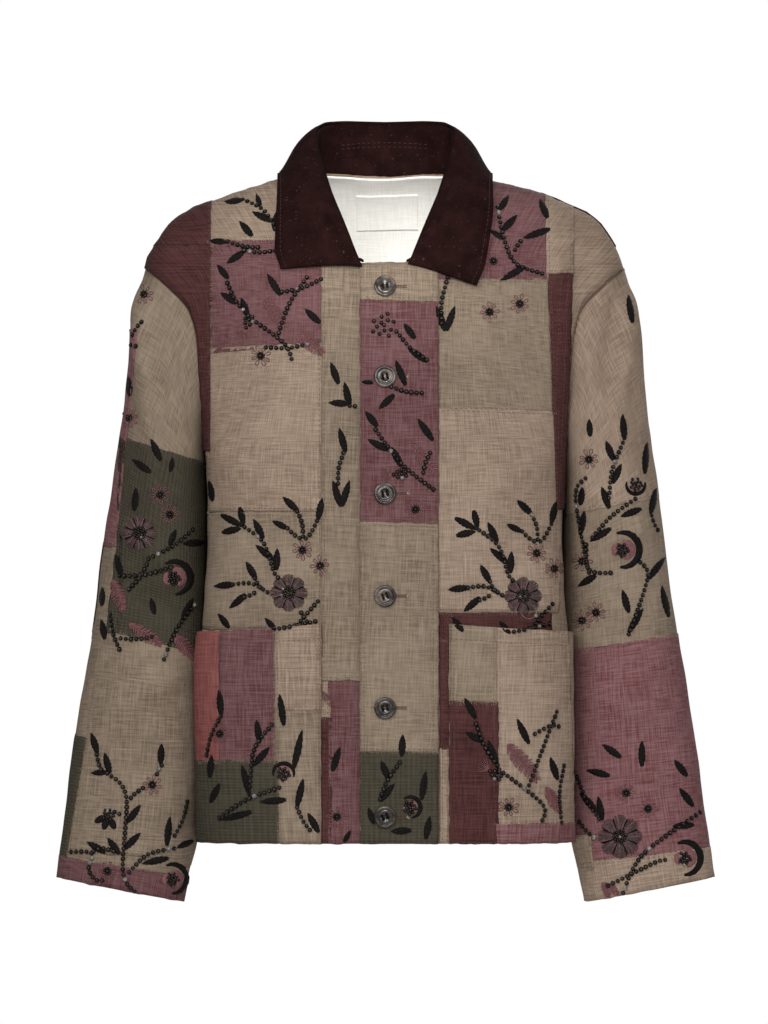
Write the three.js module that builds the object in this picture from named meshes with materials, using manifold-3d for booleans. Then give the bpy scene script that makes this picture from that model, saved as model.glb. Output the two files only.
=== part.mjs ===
// Patched work jacket, filled out as it is worn, with nobody inside.
// Millimetres, +Z up, front towards -Y, the wearer's left towards +X.
// The origin is the middle of the neck opening, on the level of the shoulder line.
import * as THREE from 'three';
import Module from 'manifold-3d';

const wasm = await Module();
wasm.setup();

// ---- driving dimensions -------------------------------------------------
const CLOTH = 2.0;            // panel wall
const THIN = 1.6;             // button band, pockets and collar layers
const LINING = 1.0;
const GAP = 0.3;              // left between pieces at every seam
const HEM = -640;
const UNDERARM = -268;
const NECK_FRONT = -84;       // top of the button band
const NECK_BACK = 3;
const POCKET_MOUTH = -436;
const BAND_INNER = -24;       // button band, from the lap edge ...
const BAND_OUTER = 50;        // ... to its seam
const POCKET_EDGE = 61;       // pocket side nearest the band
const POCKET_SLACK = 11.5;    // how far the pocket mouth stands open
const CROWN_POWER = 2.2;      // how square the shoulders turn over
const CROWN_HEIGHT = { front: 95, back: 110 };
const SIDE_HOLLOW_REACH = 45; // how far round the side hollow goes
const BUTTON_RADIUS = 10.6;
const BUTTON_HEIGHT = 3.4;
const BUTTONS = [-106.5, -193, -305, -403, -510, -614];
const LAP_DEPTH = 2.7;        // the under front lies this much deeper

// ---- smooth curves through a few given values ---------------------------
function profile(points) {
  const slope = points.map((p, i) => {
    const a = points[Math.max(i - 1, 0)];
    const b = points[Math.min(i + 1, points.length - 1)];
    return (b[1] - a[1]) / (b[0] - a[0]);
  });
  return (at) => {
    if (at <= points[0][0]) return points[0][1];
    const last = points.length - 1;
    if (at >= points[last][0]) return points[last][1] + slope[last] * (at - points[last][0]);
    const i = points.findIndex((p) => p[0] > at) - 1;
    const width = points[i + 1][0] - points[i][0];
    const t = (at - points[i][0]) / width;
    const t2 = t * t;
    const t3 = t2 * t;
    return (2 * t3 - 3 * t2 + 1) * points[i][1] + (t3 - 2 * t2 + t) * width * slope[i]
      + (3 * t2 - 2 * t3) * points[i + 1][1] + (t3 - t2) * width * slope[i + 1];
  };
}

const mix = (a, b, t) => a + (b - a) * t;
const clamp01 = (t) => Math.min(1, Math.max(0, t));
const ease = (t) => clamp01(t) ** 2 * (3 - 2 * clamp01(t));
const bell = (t) => Math.exp(-t * t);

// ---- the body form: level sections that turn over into the shoulders ----
const halfWidth = profile([[-640, 187], [-540, 187], [-440, 184], [-390, 180], [-330, 179],
  [UNDERARM, 181], [-234, 186], [-182, 202], [-128, 228], [-87, 250], [0, 262], [40, 266]]);
const depth = {
  front: profile([[-640, 132], [-440, 133], [-340, 131], [UNDERARM, 128], [-182, 120],
    [-128, 110], [-84, 98], [-40, 88], [0, 80], [40, 75]]),
  back: profile([[-640, 130], [-440, 132], [-340, 134], [UNDERARM, 136], [-182, 134],
    [-128, 129], [-84, 121], [-40, 111], [0, 101], [40, 93]]),
};
const squareness = profile([[-640, 2.8], [UNDERARM, 2.8], [-182, 2.6], [-128, 2.3],
  [-84, 2.15], [0, 2.1], [40, 2.1]]);
const sideHollow = profile([[-640, 15], [-560, 17], [-400, 13], [UNDERARM, 12], [-240, 6],
  [-215, 0], [40, 0]]);
// top line of the shoulder, from the neck out over the arm
const ridge = profile([[0, 14], [75, 6], [110, -4], [145, -14], [182, -28], [204, -42],
  [217, -58], [225, -71], [230.5, -87], [236, -110]]);
const NECK_POINT = { x: 75, z: ridge(75) };

function crown(x, z, face) {
  const top = ridge(x);
  const share = Math.max(1 - (x / halfWidth(top)) ** squareness(top), 0) ** (1 / CROWN_POWER);
  const peak = top + (1 - share) * CROWN_HEIGHT[face];
  return Math.max(0, 1 - (peak - z) / CROWN_HEIGHT[face]);
}

function formValue(x, y, z, face) {
  const n = squareness(z);
  return (Math.abs(x) / halfWidth(z)) ** n + (Math.abs(y) / depth[face](z)) ** n
    + crown(Math.abs(x), z, face) ** CROWN_POWER;
}

function formDepth(x, z, face) {
  const n = squareness(z);
  const rest = 1 - (Math.min(x / halfWidth(z), 1)) ** n - crown(x, z, face) ** CROWN_POWER;
  return depth[face](z) * Math.max(rest, 0) ** (1 / n);
}

function formNormal(x, y, z, face) {
  const e = 0.4;
  const outward = new THREE.Vector3(
    formValue(x + e, y, z, face) - formValue(x - e, y, z, face),
    formValue(x, y + e, z, face) - formValue(x, y - e, z, face),
    formValue(x, y, z + e, face) - formValue(x, y, z - e, face));
  return outward.normalize();
}

// a point of the cloth and its outward direction; x, y and the result are for the
// wearer's left half, and y is signed for front or back
function clothPoint(x, z, face, level) {
  const sign = face === 'front' ? -1 : 1;
  const across = level === undefined ? formDepth(x, z, face) : level;
  const y = sign * Math.max(across, GAP / 2);
  const normal = formNormal(x, y, z, face);
  if (across < GAP) normal.setY(0).normalize();
  const hollow = sideHollow(z) * bell(y / SIDE_HOLLOW_REACH);
  return { p: new THREE.Vector3(x - hollow, y, z), n: normal };
}

// ---- armhole: one list of places, shared by the panels and the sleeve ---
const ARMHOLE = [[230.5, -87], [222.5, -94], [208, -107], [190, -126], [182, -150],
  [178.8, -178], [176.8, -206], [176.2, -230], [177.6, -248], [180, -262],
  [halfWidth(UNDERARM), UNDERARM]];
const ARM_STEPS = ARMHOLE.length - 1;

// ---- panel layout -------------------------------------------------------
const LOWER_ROWS = [HEM, -589, -538, -487, POCKET_MOUTH, -380, -324, UNDERARM];
const BODY_COLUMNS = 10;
// inner edge of a front above the underarm: up the band seam, then round the neck
const FRONT_INNER = [[BAND_OUTER, UNDERARM], [BAND_OUTER, -245], [BAND_OUTER, -214],
  [BAND_OUTER, -179], [BAND_OUTER, -136], [BAND_OUTER, NECK_FRONT], [55, -60], [61, -36],
  [67, -16], [72, -2], [NECK_POINT.x, NECK_POINT.z]];
const NECK_ROW = 5;           // row of FRONT_INNER where the neck curve starts

// the level section from x0 to the side, split at the given share of its length
function sectionSplit(z, face, x0, firstStep) {
  const n = squareness(z);
  const a = halfWidth(z);
  const b = depth[face](z);
  const samples = 400;
  const start = Math.asin((x0 / a) ** (n / 2));
  const places = [];
  for (let i = 0; i <= samples; i += 1) {
    const angle = mix(start, Math.PI / 2, i / samples);
    places.push([a * Math.sin(angle) ** (2 / n), b * Math.max(Math.cos(angle), 0) ** (2 / n)]);
  }
  const run = [0];
  for (let i = 1; i <= samples; i += 1) {
    run.push(run[i - 1] + Math.hypot(places[i][0] - places[i - 1][0],
      places[i][1] - places[i - 1][1]));
  }
  const total = run[samples];
  const split = [];
  for (let k = 0; k <= BODY_COLUMNS; k += 1) {
    const wanted = firstStep > 0 && k > 0
      ? mix(firstStep, total, (k - 1) / (BODY_COLUMNS - 1)) : total * k / BODY_COLUMNS;
    let i = run.findIndex((length) => length >= wanted - 1e-9);
    if (i < 1) i = 1;
    const t = clamp01((wanted - run[i - 1]) / (run[i] - run[i - 1]));
    split.push([mix(places[i - 1][0], places[i][0], t), mix(places[i - 1][1], places[i][1], t)]);
  }
  return split;
}

// rows of cloth points for one half, from hem to shoulder and centre to side
function halfPanel(face, inner, top, firstStep) {
  const rows = LOWER_ROWS.map((z) => sectionSplit(z, face, inner[0][0], firstStep)
    .map(([x, y]) => clothPoint(x, z, face, y)));
  const chest = sectionSplit(UNDERARM, face, inner[0][0], firstStep);
  const width = chest[BODY_COLUMNS][0] - inner[0][0];
  for (let j = 1; j <= ARM_STEPS; j += 1) {
    const v = j / ARM_STEPS;
    const arm = ARMHOLE[ARM_STEPS - j];
    const row = [];
    for (let k = 0; k <= BODY_COLUMNS; k += 1) {
      const u = mix((chest[k][0] - inner[0][0]) / width, k / BODY_COLUMNS, ease(v * 1.4));
      const crest = top(u);
      const corner = mix(inner[ARM_STEPS][1], ARMHOLE[0][1], u);
      const along = mix(inner[ARM_STEPS][0], ARMHOLE[0][0], u);
      const x = mix(inner[j][0], arm[0], u) + v * (crest[0] - along);
      const z = mix(inner[j][1], arm[1], u) + v * (crest[1] - corner);
      row.push(clothPoint(x, z, face));
    }
    rows.push(row);
  }
  return rows;
}

const mirrorPoint = ({ p, n }) => ({
  p: new THREE.Vector3(-p.x, p.y, p.z), n: new THREE.Vector3(-n.x, n.y, n.z) });
const moved = (rows, by) => rows.map((row, r) => row.map(({ p, n }, c) => p.clone()
  .addScaledVector(n, typeof by === 'function' ? by(r, c) : by)));

// ---- closed walls of cloth from two grids of points ---------------------
function wall(name, colour, outer, inner, { has = () => true, round = false } = {}) {
  const rows = outer.length;
  const cols = outer[0].length;
  const spans = round ? cols : cols - 1;
  const at = (layer, r, c) => (layer * rows + r) * cols + (c % cols);
  const there = (r, c) => {
    const column = round ? (c + cols) % cols : c;
    return r >= 0 && r < rows - 1 && column >= 0 && column < spans && has(r, column);
  };
  const faces = [];
  const quad = (a, b, c, d) => faces.push(a, b, c, a, c, d);
  for (let r = 0; r < rows - 1; r += 1) {
    for (let c = 0; c < spans; c += 1) {
      if (!there(r, c)) continue;
      quad(at(0, r, c), at(0, r, c + 1), at(0, r + 1, c + 1), at(0, r + 1, c));
      quad(at(1, r, c), at(1, r + 1, c), at(1, r + 1, c + 1), at(1, r, c + 1));
      if (!there(r - 1, c)) quad(at(0, r, c + 1), at(0, r, c), at(1, r, c), at(1, r, c + 1));
      if (!there(r + 1, c)) {
        quad(at(0, r + 1, c), at(0, r + 1, c + 1), at(1, r + 1, c + 1), at(1, r + 1, c));
      }
      if (!there(r, c - 1)) quad(at(0, r, c), at(0, r + 1, c), at(1, r + 1, c), at(1, r, c));
      if (!there(r, c + 1)) {
        quad(at(0, r + 1, c + 1), at(0, r, c + 1), at(1, r, c + 1), at(1, r + 1, c + 1));
      }
    }
  }
  const points = [...outer.flat(), ...inner.flat()];
  let volume = 0;
  for (let i = 0; i < faces.length; i += 3) {
    const [a, b, c] = [points[faces[i]], points[faces[i + 1]], points[faces[i + 2]]];
    volume += a.dot(b.clone().cross(c));
  }
  if (volume < 0) faces.reverse();
  const geometry = new THREE.BufferGeometry();
  geometry.setAttribute('position',
    new THREE.Float32BufferAttribute(points.flatMap((p) => [p.x, p.y, p.z]), 3));
  geometry.setIndex(faces);
  return piece(name, geometry, colour);
}

function piece(name, geometry, colour, roughness = 0.9) {
  const mesh = new THREE.Mesh(geometry,
    new THREE.MeshStandardMaterial({ color: colour, roughness, metalness: 0 }));
  mesh.name = name;
  return mesh;
}

const jacket = new THREE.Group();

// ---- fronts -------------------------------------------------------------
const shoulderTop = (u) => {
  const x = mix(NECK_POINT.x, ARMHOLE[0][0], u);
  return [x, ridge(x)];
};
const frontHalf = halfPanel('front', FRONT_INNER, shoulderTop, POCKET_EDGE - BAND_OUTER);
const BAND_ROWS = LOWER_ROWS.length + NECK_ROW;

// strips between the lap edge and the band seam, level rows up to the neck
function bandStrip(columns) {
  const heights = [...LOWER_ROWS, ...FRONT_INNER.slice(1, NECK_ROW + 1).map((place) => place[1])];
  return heights.map((z) => columns.map((x) => {
    const point = clothPoint(Math.abs(x), z, 'front');
    return x < 0 ? mirrorPoint(point) : point;
  }));
}

function joinStrip(strip, half) {
  return half.map((row, r) => [...strip[Math.min(r, strip.length - 1)], ...row]);
}

// the wearer's left front laps over; its points also carry the band
const LEFT_STRIP = [BAND_INNER, 0, 25];
const leftRows = joinStrip(bandStrip(LEFT_STRIP), frontHalf);
const bandCell = (stripWidth) => (r, c) => r < BAND_ROWS - 1 || c >= stripWidth;
// a soft upright fold hides the left armhole seam from the front
const drapeFold = (r, c) => {
  const { p } = leftRows[r][c];
  if (c === leftRows[r].length - 1) return 0;
  return 5 * bell((p.x - 168) / 13) * ease((p.z + 240) / 60) * ease((-25 - p.z) / 40)
    * ease((-25 - p.y) / 30);
};
jacket.add(wall('front_left', '#857565', moved(leftRows, drapeFold),
  moved(leftRows, (r, c) => drapeFold(r, c) - CLOTH), { has: bandCell(LEFT_STRIP.length) }));

// the wearer's right front runs under the band, a layer deeper
const RIGHT_STRIP = [-18, 6, 28, 40];
const LAP_SHARE = [1, 1, 1, 0.4];
const rightRows = joinStrip(bandStrip(RIGHT_STRIP), frontHalf)
  .map((row) => row.map(mirrorPoint));
const lap = (r, c) => -LAP_DEPTH * (LAP_SHARE[c] ?? 0);
jacket.add(wall('front_right', '#8a7a69', moved(rightRows, lap),
  moved(rightRows, (r, c) => lap(r, c) - CLOTH), { has: bandCell(RIGHT_STRIP.length) }));

// ---- button band --------------------------------------------------------
const bandRows = leftRows.slice(0, BAND_ROWS).map((row) => row.slice(0, LEFT_STRIP.length + 1));
jacket.add(wall('button_band', '#7c7061', moved(bandRows, GAP + THIN), moved(bandRows, GAP)));

// ---- patch pockets, open at the mouth -----------------------------------
const POCKET_ROWS = LOWER_ROWS.indexOf(POCKET_MOUTH) + 1;
const POCKET_COLUMNS = [1, BODY_COLUMNS - 1];
function pocket(name, rows) {
  const cut = rows.slice(0, POCKET_ROWS).map((row) => row.slice(...POCKET_COLUMNS));
  const slack = (r, c) => POCKET_SLACK * Math.sin(Math.PI * c / (cut[0].length - 1)) ** 0.8
    * (r / (cut.length - 1)) ** 0.7;
  jacket.add(wall(name, '#6e4f4b', moved(cut, (r, c) => slack(r, c) + GAP + THIN),
    moved(cut, (r, c) => slack(r, c) + GAP)));
}
pocket('pocket_left', frontHalf);
pocket('pocket_right', frontHalf.map((row) => row.map(mirrorPoint)));

// ---- back ---------------------------------------------------------------
const NECK_COLUMNS = 3;       // of the back's half, along the neck
const backInner = [UNDERARM, -240, -212, -184, -156, -128, -100, -72, -46, -20, NECK_BACK]
  .map((z) => [0, z]);
const backTop = (u) => {
  const share = u * BODY_COLUMNS / NECK_COLUMNS;
  const x = share < 1 ? NECK_POINT.x * share
    : mix(NECK_POINT.x, ARMHOLE[0][0], (share - 1) / (BODY_COLUMNS / NECK_COLUMNS - 1));
  return [x, share < 1 ? mix(NECK_BACK, NECK_POINT.z, share * share) : ridge(x)];
};
const backHalf = halfPanel('back', backInner, backTop, 0);
const backRows = backHalf.map((row) => [...row.slice(1).reverse().map(mirrorPoint), ...row]);
jacket.add(wall('back', '#857565', moved(backRows, 0), moved(backRows, -CLOTH)));

// ---- lining behind the neck, with a blank label -------------------------
const liningRows = backRows.slice(LOWER_ROWS.length + 2).map((row) => row.slice(2, -2));
const liningFace = moved(liningRows, -CLOTH - GAP - LINING);
jacket.add(wall('neck_lining', '#eeeae1', moved(liningRows, -CLOTH - GAP), liningFace));

const LABEL = { x: [-28, 32], z: [-46, -12], thickness: 0.6 };
function labelGrid(off) {
  return [0, 0.5, 1].map((v) => [0, 0.25, 0.5, 0.75, 1].map((u) => {
    const x = mix(...LABEL.x, u);
    const z = mix(...LABEL.z, v);
    const point = clothPoint(Math.abs(x), z, 'back');
    const { p, n } = x < 0 ? mirrorPoint(point) : point;
    return p.clone().addScaledVector(n, off);
  }));
}
const LABEL_OFF = -CLOTH - GAP - LINING - 6 * GAP;
jacket.add(wall('label', '#f1ede2', labelGrid(LABEL_OFF), labelGrid(LABEL_OFF - LABEL.thickness)));

// ---- sleeves ------------------------------------------------------------
const SLEEVE_RINGS = 15;
const CUFF = { outer: { x: 316, z: -675 }, inner: { x: 195, z: -698 } };
const outerLine = profile([[-675, 316], [-618, 309], [-503, 293], [-388, 275.5], [-273, 260],
  [-215, 251.5], [-157, 245], [-129, 241], [-100, 234], [-87, 230.5]]);
const innerLine = profile([[-698, 195], [-665, 188], [-640, 182.5], [-600, 177], [-540, 175],
  [-440, 174], [-340, 171.5], [-290, 171], [UNDERARM, 169.4]]);
const sleeveHalfDepth = profile([[0, 80], [0.1, 84], [0.25, 80], [0.45, 71], [0.7, 57], [1, 45]]);
const sleeveForward = profile([[0, 0], [0.4, 0], [1, -14]]);
const SLEEVE_SQUARENESS = 2.3;

function sleeveEllipse(t, angle) {
  const outer = mix(ARMHOLE[0][1], CUFF.outer.z, t);
  const inner = mix(UNDERARM, CUFF.inner.z, t ** 1.6);
  const a = new THREE.Vector3(outerLine(outer), 0, outer);
  const b = new THREE.Vector3(innerLine(inner), 0, inner);
  const power = 2 / SLEEVE_SQUARENESS;
  const c = Math.sign(Math.cos(angle)) * Math.abs(Math.cos(angle)) ** power;
  const s = Math.sign(Math.sin(angle)) * Math.abs(Math.sin(angle)) ** power;
  const point = a.clone().add(b).multiplyScalar(0.5).addScaledVector(a.sub(b), c / 2);
  return point.setY(sleeveForward(t) - s * sleeveHalfDepth(t));
}

// seam places round the armhole, front first, from the shoulder down and back up
const armholePoints = [];
for (let k = 0; k < 2 * ARM_STEPS; k += 1) {
  const face = k <= ARM_STEPS ? 'front' : 'back';
  const [x, z] = ARMHOLE[k <= ARM_STEPS ? k : 2 * ARM_STEPS - k];
  const point = clothPoint(x, z, face);
  if (k === 0 || k === ARM_STEPS) point.p.setY(0);
  armholePoints.push(point);
}

// an upright fold down the front of the upper sleeve
function sleeveFold(t, angle) {
  return 4.5 * bell((angle - 0.9) / 0.3) * ease(t / 0.08) * ease((0.42 - t) / 0.2);
}

function sleeveRows() {
  const rings = [];
  for (let i = 0; i <= SLEEVE_RINGS; i += 1) {
    const t = (i / SLEEVE_RINGS) ** 1.1;
    const carry = clamp01(1 - t / 0.42) ** 2;
    rings.push(armholePoints.map(({ p }, k) => {
      const angle = Math.PI * k / ARM_STEPS;
      const start = p.clone().sub(sleeveEllipse(0, angle));
      return sleeveEllipse(t, angle).addScaledVector(start, carry);
    }));
  }
  const count = armholePoints.length;
  const rows = rings.map((ring, i) => ring.map((p, k) => {
    const along = rings[Math.min(i + 1, SLEEVE_RINGS)][k].clone().sub(rings[Math.max(i - 1, 0)][k]);
    const across = ring[(k + 1) % count].clone().sub(ring[(k + count - 1) % count]);
    const n = across.cross(along).normalize();
    const t = (i / SLEEVE_RINGS) ** 1.1;
    return { p: p.clone().addScaledVector(n, sleeveFold(t, Math.PI * k / ARM_STEPS)), n };
  }));
  // at the seam the sleeve's edge keeps clear of the panels and shares their slant
  rows[0] = rows[0].map(({ p, n }, k) => {
    const panel = armholePoints[k].n;
    const onward = rings[1][k].clone().sub(p).normalize();
    const tangent = rings[0][(k + 1) % count].clone().sub(rings[0][(k + count - 1) % count]);
    const beyond = tangent.clone().cross(panel).normalize();
    if (beyond.dot(onward) < 0 && Math.abs(k - ARM_STEPS) > 2) beyond.negate();
    const shift = onward.add(beyond).add(panel).sub(n).normalize();
    const shared = ease((panel.dot(n) - 0.3) / 0.5);
    return { p: p.clone().addScaledVector(shift, 1.3 * GAP),
      n: n.clone().lerp(panel.clone().add(n).normalize(), shared).normalize() };
  });
  return rows;
}
const leftSleeve = sleeveRows();
const rightSleeve = leftSleeve.map((row) => row.map(mirrorPoint));
jacket.add(wall('sleeve_left', '#877767', moved(leftSleeve, 0), moved(leftSleeve, -CLOTH),
  { round: true }));
jacket.add(wall('sleeve_right', '#7b6e60', moved(rightSleeve, 0), moved(rightSleeve, -CLOTH),
  { round: true }));

// ---- collar: a stand up from the neck seam and a fall over it -----------
const foldLine = new THREE.CatmullRomCurve3([[0, 62, 56], [26, 59, 56.5], [46, 48, 56],
  [59, 28, 53], [65, 4, 44], [61.5, -22, 20], [52, -48, -13], [37, -74, -50], [21.5, -99, -80]]
  .map((p) => new THREE.Vector3(...p)));
const fallEdge = new THREE.CatmullRomCurve3([[0, 79, -15], [31, 77, -15], [59, 67, -10],
  [84, 46, -6], [100, 15, 1], [103, -18, 1], [104, -50, -13], [105, -80, -48], [105.5, -97, -86]]
  .map((p) => new THREE.Vector3(...p)));
const fallRise = profile([[0, 4], [0.5, 7], [0.75, 9], [0.9, 7], [1, 4]]);
const COLLAR_CLOTH = 2.2;
const COLLAR_CLEAR = 1.0;     // between the collar and what it lies on
const FRONT_SEAM_ROOM = 3;    // the stand's edge is held off where the seam doubles back

// the neck seam of one half as the panels' own edge places, centre back to front
const neckSeam = [
  ...backHalf[backHalf.length - 1].slice(0, NECK_COLUMNS + 1),
  ...frontHalf.slice(BAND_ROWS - 1, -1).reverse().map((row) => row[0]),
  clothPoint(36, NECK_FRONT, 'front'),
  clothPoint(22, NECK_FRONT, 'front'),
];
function seamShares() {
  const side = NECK_COLUMNS;
  const last = neckSeam.length - 1;
  return neckSeam.map((p, i) => (i <= side ? 0.5 * i / side
    : 0.5 + 0.5 * (i - side) / (last - side)));
}

function pushedClear(point, gap) {
  const face = point.y < 0 ? 'front' : 'back';
  for (let step = 0; step < 60; step += 1) {
    const outward = formNormal(Math.abs(point.x), point.y, point.z, face);
    const probe = point.clone().addScaledVector(outward, -gap);
    if (formValue(Math.abs(probe.x), probe.y, probe.z, face) >= 1) break;
    point.addScaledVector(outward, 0.4);
  }
  return point;
}

function collarHalf() {
  const shares = seamShares();
  const stand = [];
  const fall = [];
  shares.forEach((s, i) => {
    const fold = foldLine.getPoint(s);
    const rise = fold.clone().sub(neckSeam[i].p).normalize();
    const seam = neckSeam[i].p.clone().addScaledVector(rise, s > 0.5 ? FRONT_SEAM_ROOM : 2 * GAP);
    seam.z += GAP;
    stand.push([0, 0.33, 0.67, 1].map((v) => {
      const point = seam.clone().lerp(fold, v);
      point.z -= v * (COLLAR_CLOTH + GAP);
      return point;
    }));
    const edge = fallEdge.getPoint(s);
    const ahead = foldLine.getPoint(Math.min(s + 0.02, 1)).sub(foldLine.getPoint(Math.max(s - 0.02, 0)));
    const outward = edge.clone().sub(fold).cross(ahead).normalize();
    if (outward.z < 0) outward.negate();
    fall.push([0, 0.12, 0.35, 0.6, 0.8, 1].map((v) => {
      const point = fold.clone().lerp(edge, v);
      point.addScaledVector(outward, fallRise(s) * Math.sin(Math.PI * v ** 0.7));
      return v > 0.3 ? pushedClear(point, COLLAR_CLOTH + COLLAR_CLEAR + THIN + GAP) : point;
    }));
  });
  return { stand, fall };
}

// where the stand meets the panels its edge leans as far as theirs does
function leanWithPanel(n, up, panel) {
  const lean = Math.max(1.25 * -panel.dot(up), 0);
  const depthShare = Math.max(-panel.dot(n), 0.05);
  return n.clone().multiplyScalar(depthShare).addScaledVector(up, lean).normalize();
}

function collarPiece(name, half, colour, seam) {
  const mirrored = half.slice(1).reverse().map((column) => column
    .map((p) => new THREE.Vector3(-p.x, p.y, p.z)));
  const columns = [...mirrored, ...half];
  const edge = seam && [...seam.slice(1).reverse().map(mirrorPoint), ...seam];
  const rows = columns[0].map((_, r) => columns.map((column) => column[r]));
  const last = columns.length - 1;
  const points = rows.map((row, r) => row.map((p, c) => {
    const across = row[Math.min(c + 1, last)].clone().sub(row[Math.max(c - 1, 0)]);
    const up = rows[Math.min(r + 1, rows.length - 1)][c].clone().sub(rows[Math.max(r - 1, 0)][c]);
    const n = across.cross(up).normalize();
    return { p, n: edge && r === 0 ? leanWithPanel(n, up.normalize(), edge[c].n) : n };
  }));
  return wall(name, colour, moved(points, 0), moved(points, COLLAR_CLOTH));
}
const collar = collarHalf();
jacket.add(collarPiece('collar_stand', collar.stand, '#2a1916', neckSeam));
jacket.add(collarPiece('collar_fall', collar.fall, '#2a1916'));

// ---- buttons: turned discs with a raised rim and four thread holes ------
function manifoldOf(geometry) {
  const index = geometry.index.array;
  return new wasm.Manifold(new wasm.Mesh({ numProp: 3,
    vertProperties: new Float32Array(geometry.attributes.position.array),
    triVerts: new Uint32Array(index) }));
}

function merged(geometry) {
  const seen = new Map();
  const points = [];
  const position = geometry.attributes.position;
  const renumber = [];
  for (let i = 0; i < position.count; i += 1) {
    const p = [position.getX(i), position.getY(i), position.getZ(i)]
      .map((value) => Math.round(value * 1e4) / 1e4 + 0);
    const key = p.join();
    if (!seen.has(key)) {
      seen.set(key, points.length / 3);
      points.push(...p);
    }
    renumber.push(seen.get(key));
  }
  const source = geometry.index ? [...geometry.index.array] : renumber.map((_, i) => i);
  const faces = [];
  for (let i = 0; i < source.length; i += 3) {
    const [a, b, c] = [0, 1, 2].map((k) => renumber[source[i + k]]);
    if (a !== b && b !== c && a !== c) faces.push(a, b, c);
  }
  const clean = new THREE.BufferGeometry();
  clean.setAttribute('position', new THREE.Float32BufferAttribute(points, 3));
  clean.setIndex(faces);
  return clean;
}

function buttonGeometry() {
  const r = BUTTON_RADIUS;
  const h = BUTTON_HEIGHT;
  const turned = new THREE.LatheGeometry([[0, 0], [r * 0.8, 0], [r, h * 0.4], [r * 0.96, h * 0.85],
    [r * 0.84, h], [r * 0.66, h * 0.6], [0, h * 0.6]].map((p) => new THREE.Vector2(...p)), 20);
  let body = manifoldOf(merged(turned));
  if (body.volume() < 0) throw new Error('button faces inward');
  for (const [x, z] of [[1, 1], [1, -1], [-1, 1], [-1, -1]]) {
    const hole = new THREE.CylinderGeometry(1.1, 1.1, 3 * h, 6).translate(2.1 * x, 0, 2.1 * z);
    body = body.subtract(manifoldOf(merged(hole)));
  }
  const cut = body.getMesh();
  const geometry = new THREE.BufferGeometry();
  geometry.setAttribute('position', new THREE.Float32BufferAttribute(cut.vertProperties, 3));
  geometry.setIndex([...cut.triVerts]);
  return geometry.rotateX(Math.PI);
}

const buttonShape = buttonGeometry();
BUTTONS.forEach((z, i) => {
  const button = piece(`button_${i + 1}`, buttonShape.clone(), '#3d322c', 0.35);
  const { p, n } = clothPoint(0, z, 'front');
  button.position.copy(p.addScaledVector(n, 2 * GAP + THIN));
  button.rotation.x = -Math.atan2(n.z, -n.y);
  jacket.add(button);
});

export default jacket;
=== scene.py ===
import math
import random
from functools import lru_cache

import bmesh
import bpy
from mathutils import Matrix, Vector, noise
from mathutils.bvhtree import BVHTree


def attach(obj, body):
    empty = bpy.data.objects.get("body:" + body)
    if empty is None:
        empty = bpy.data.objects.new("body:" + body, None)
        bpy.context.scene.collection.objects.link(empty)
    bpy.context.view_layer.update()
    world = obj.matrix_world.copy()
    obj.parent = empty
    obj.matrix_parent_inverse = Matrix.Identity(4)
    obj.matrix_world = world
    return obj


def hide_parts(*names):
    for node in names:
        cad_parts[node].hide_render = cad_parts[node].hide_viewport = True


# Patchwork button jacket, filled out as it is worn, with nobody inside.
# Garment measures are millimetres in the jacket's own frame: +Z up, front towards -Y,
# the wearer's left towards +X, origin in the middle of the neck opening. MM makes metres.

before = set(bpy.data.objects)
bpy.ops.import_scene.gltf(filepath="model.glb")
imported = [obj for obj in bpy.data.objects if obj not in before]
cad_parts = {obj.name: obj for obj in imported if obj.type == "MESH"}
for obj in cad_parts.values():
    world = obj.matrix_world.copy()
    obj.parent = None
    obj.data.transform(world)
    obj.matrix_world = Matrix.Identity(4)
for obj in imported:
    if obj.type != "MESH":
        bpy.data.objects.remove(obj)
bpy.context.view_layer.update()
MM = 0.001

# ---- garment measures ----------------------------------------------------------------
CLOTH = 2.0
THIN = 1.6
GAP = 0.3
PATCH_LIFT = 0.9
PATCH_CLOTH = 0.8
HEM = -640
UNDERARM = -268
NECK_FRONT = -84
NECK_BACK = 3
POCKET_MOUTH = -434
POCKET_TILT = 9
BAND_INNER = -24
BAND_OUTER = 51
POCKET_SLACK = 11.5
CROWN_POWER = 2.2
CROWN_HEIGHT = {"front": 95, "back": 110}
SIDE_HOLLOW_REACH = 45
BUTTONS = [-106.5, -193, -305, -403, -510, -614]
BUTTON_RADIUS = 10.6
BUTTON_HEIGHT = 3.4
THREAD_HOLE_OUT = 2.1    # each of a button's four holes, from its middle lines
THREAD_HOLE_RADIUS = 1.15
LAP_DEPTH = 2.7
CUFF_OUTER = (316, -675)
CUFF_INNER = (195, -698)
LOWER_SHARE = 0.55     # of a panel's rows, from the hem to the underarm
STITCH = 2.6
HEM_ROW = -631
BAND_ROW_TOP = -90
BAND_ROW_FOOT = -632
COLLAR_STITCHES = 190
ROSETTE_THREADS = 104
LEAF_STEPS = 11        # stitches along a leaf or petal
LEAF_JAGS = 13         # uneven stitch ends on each side of a leaf
SAME_PLACE = 0.00002   # metres, within which a seam's two edges are one
FLOOR_LEVEL = -1.02
FLOOR_RADIUS = 1.45


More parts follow.
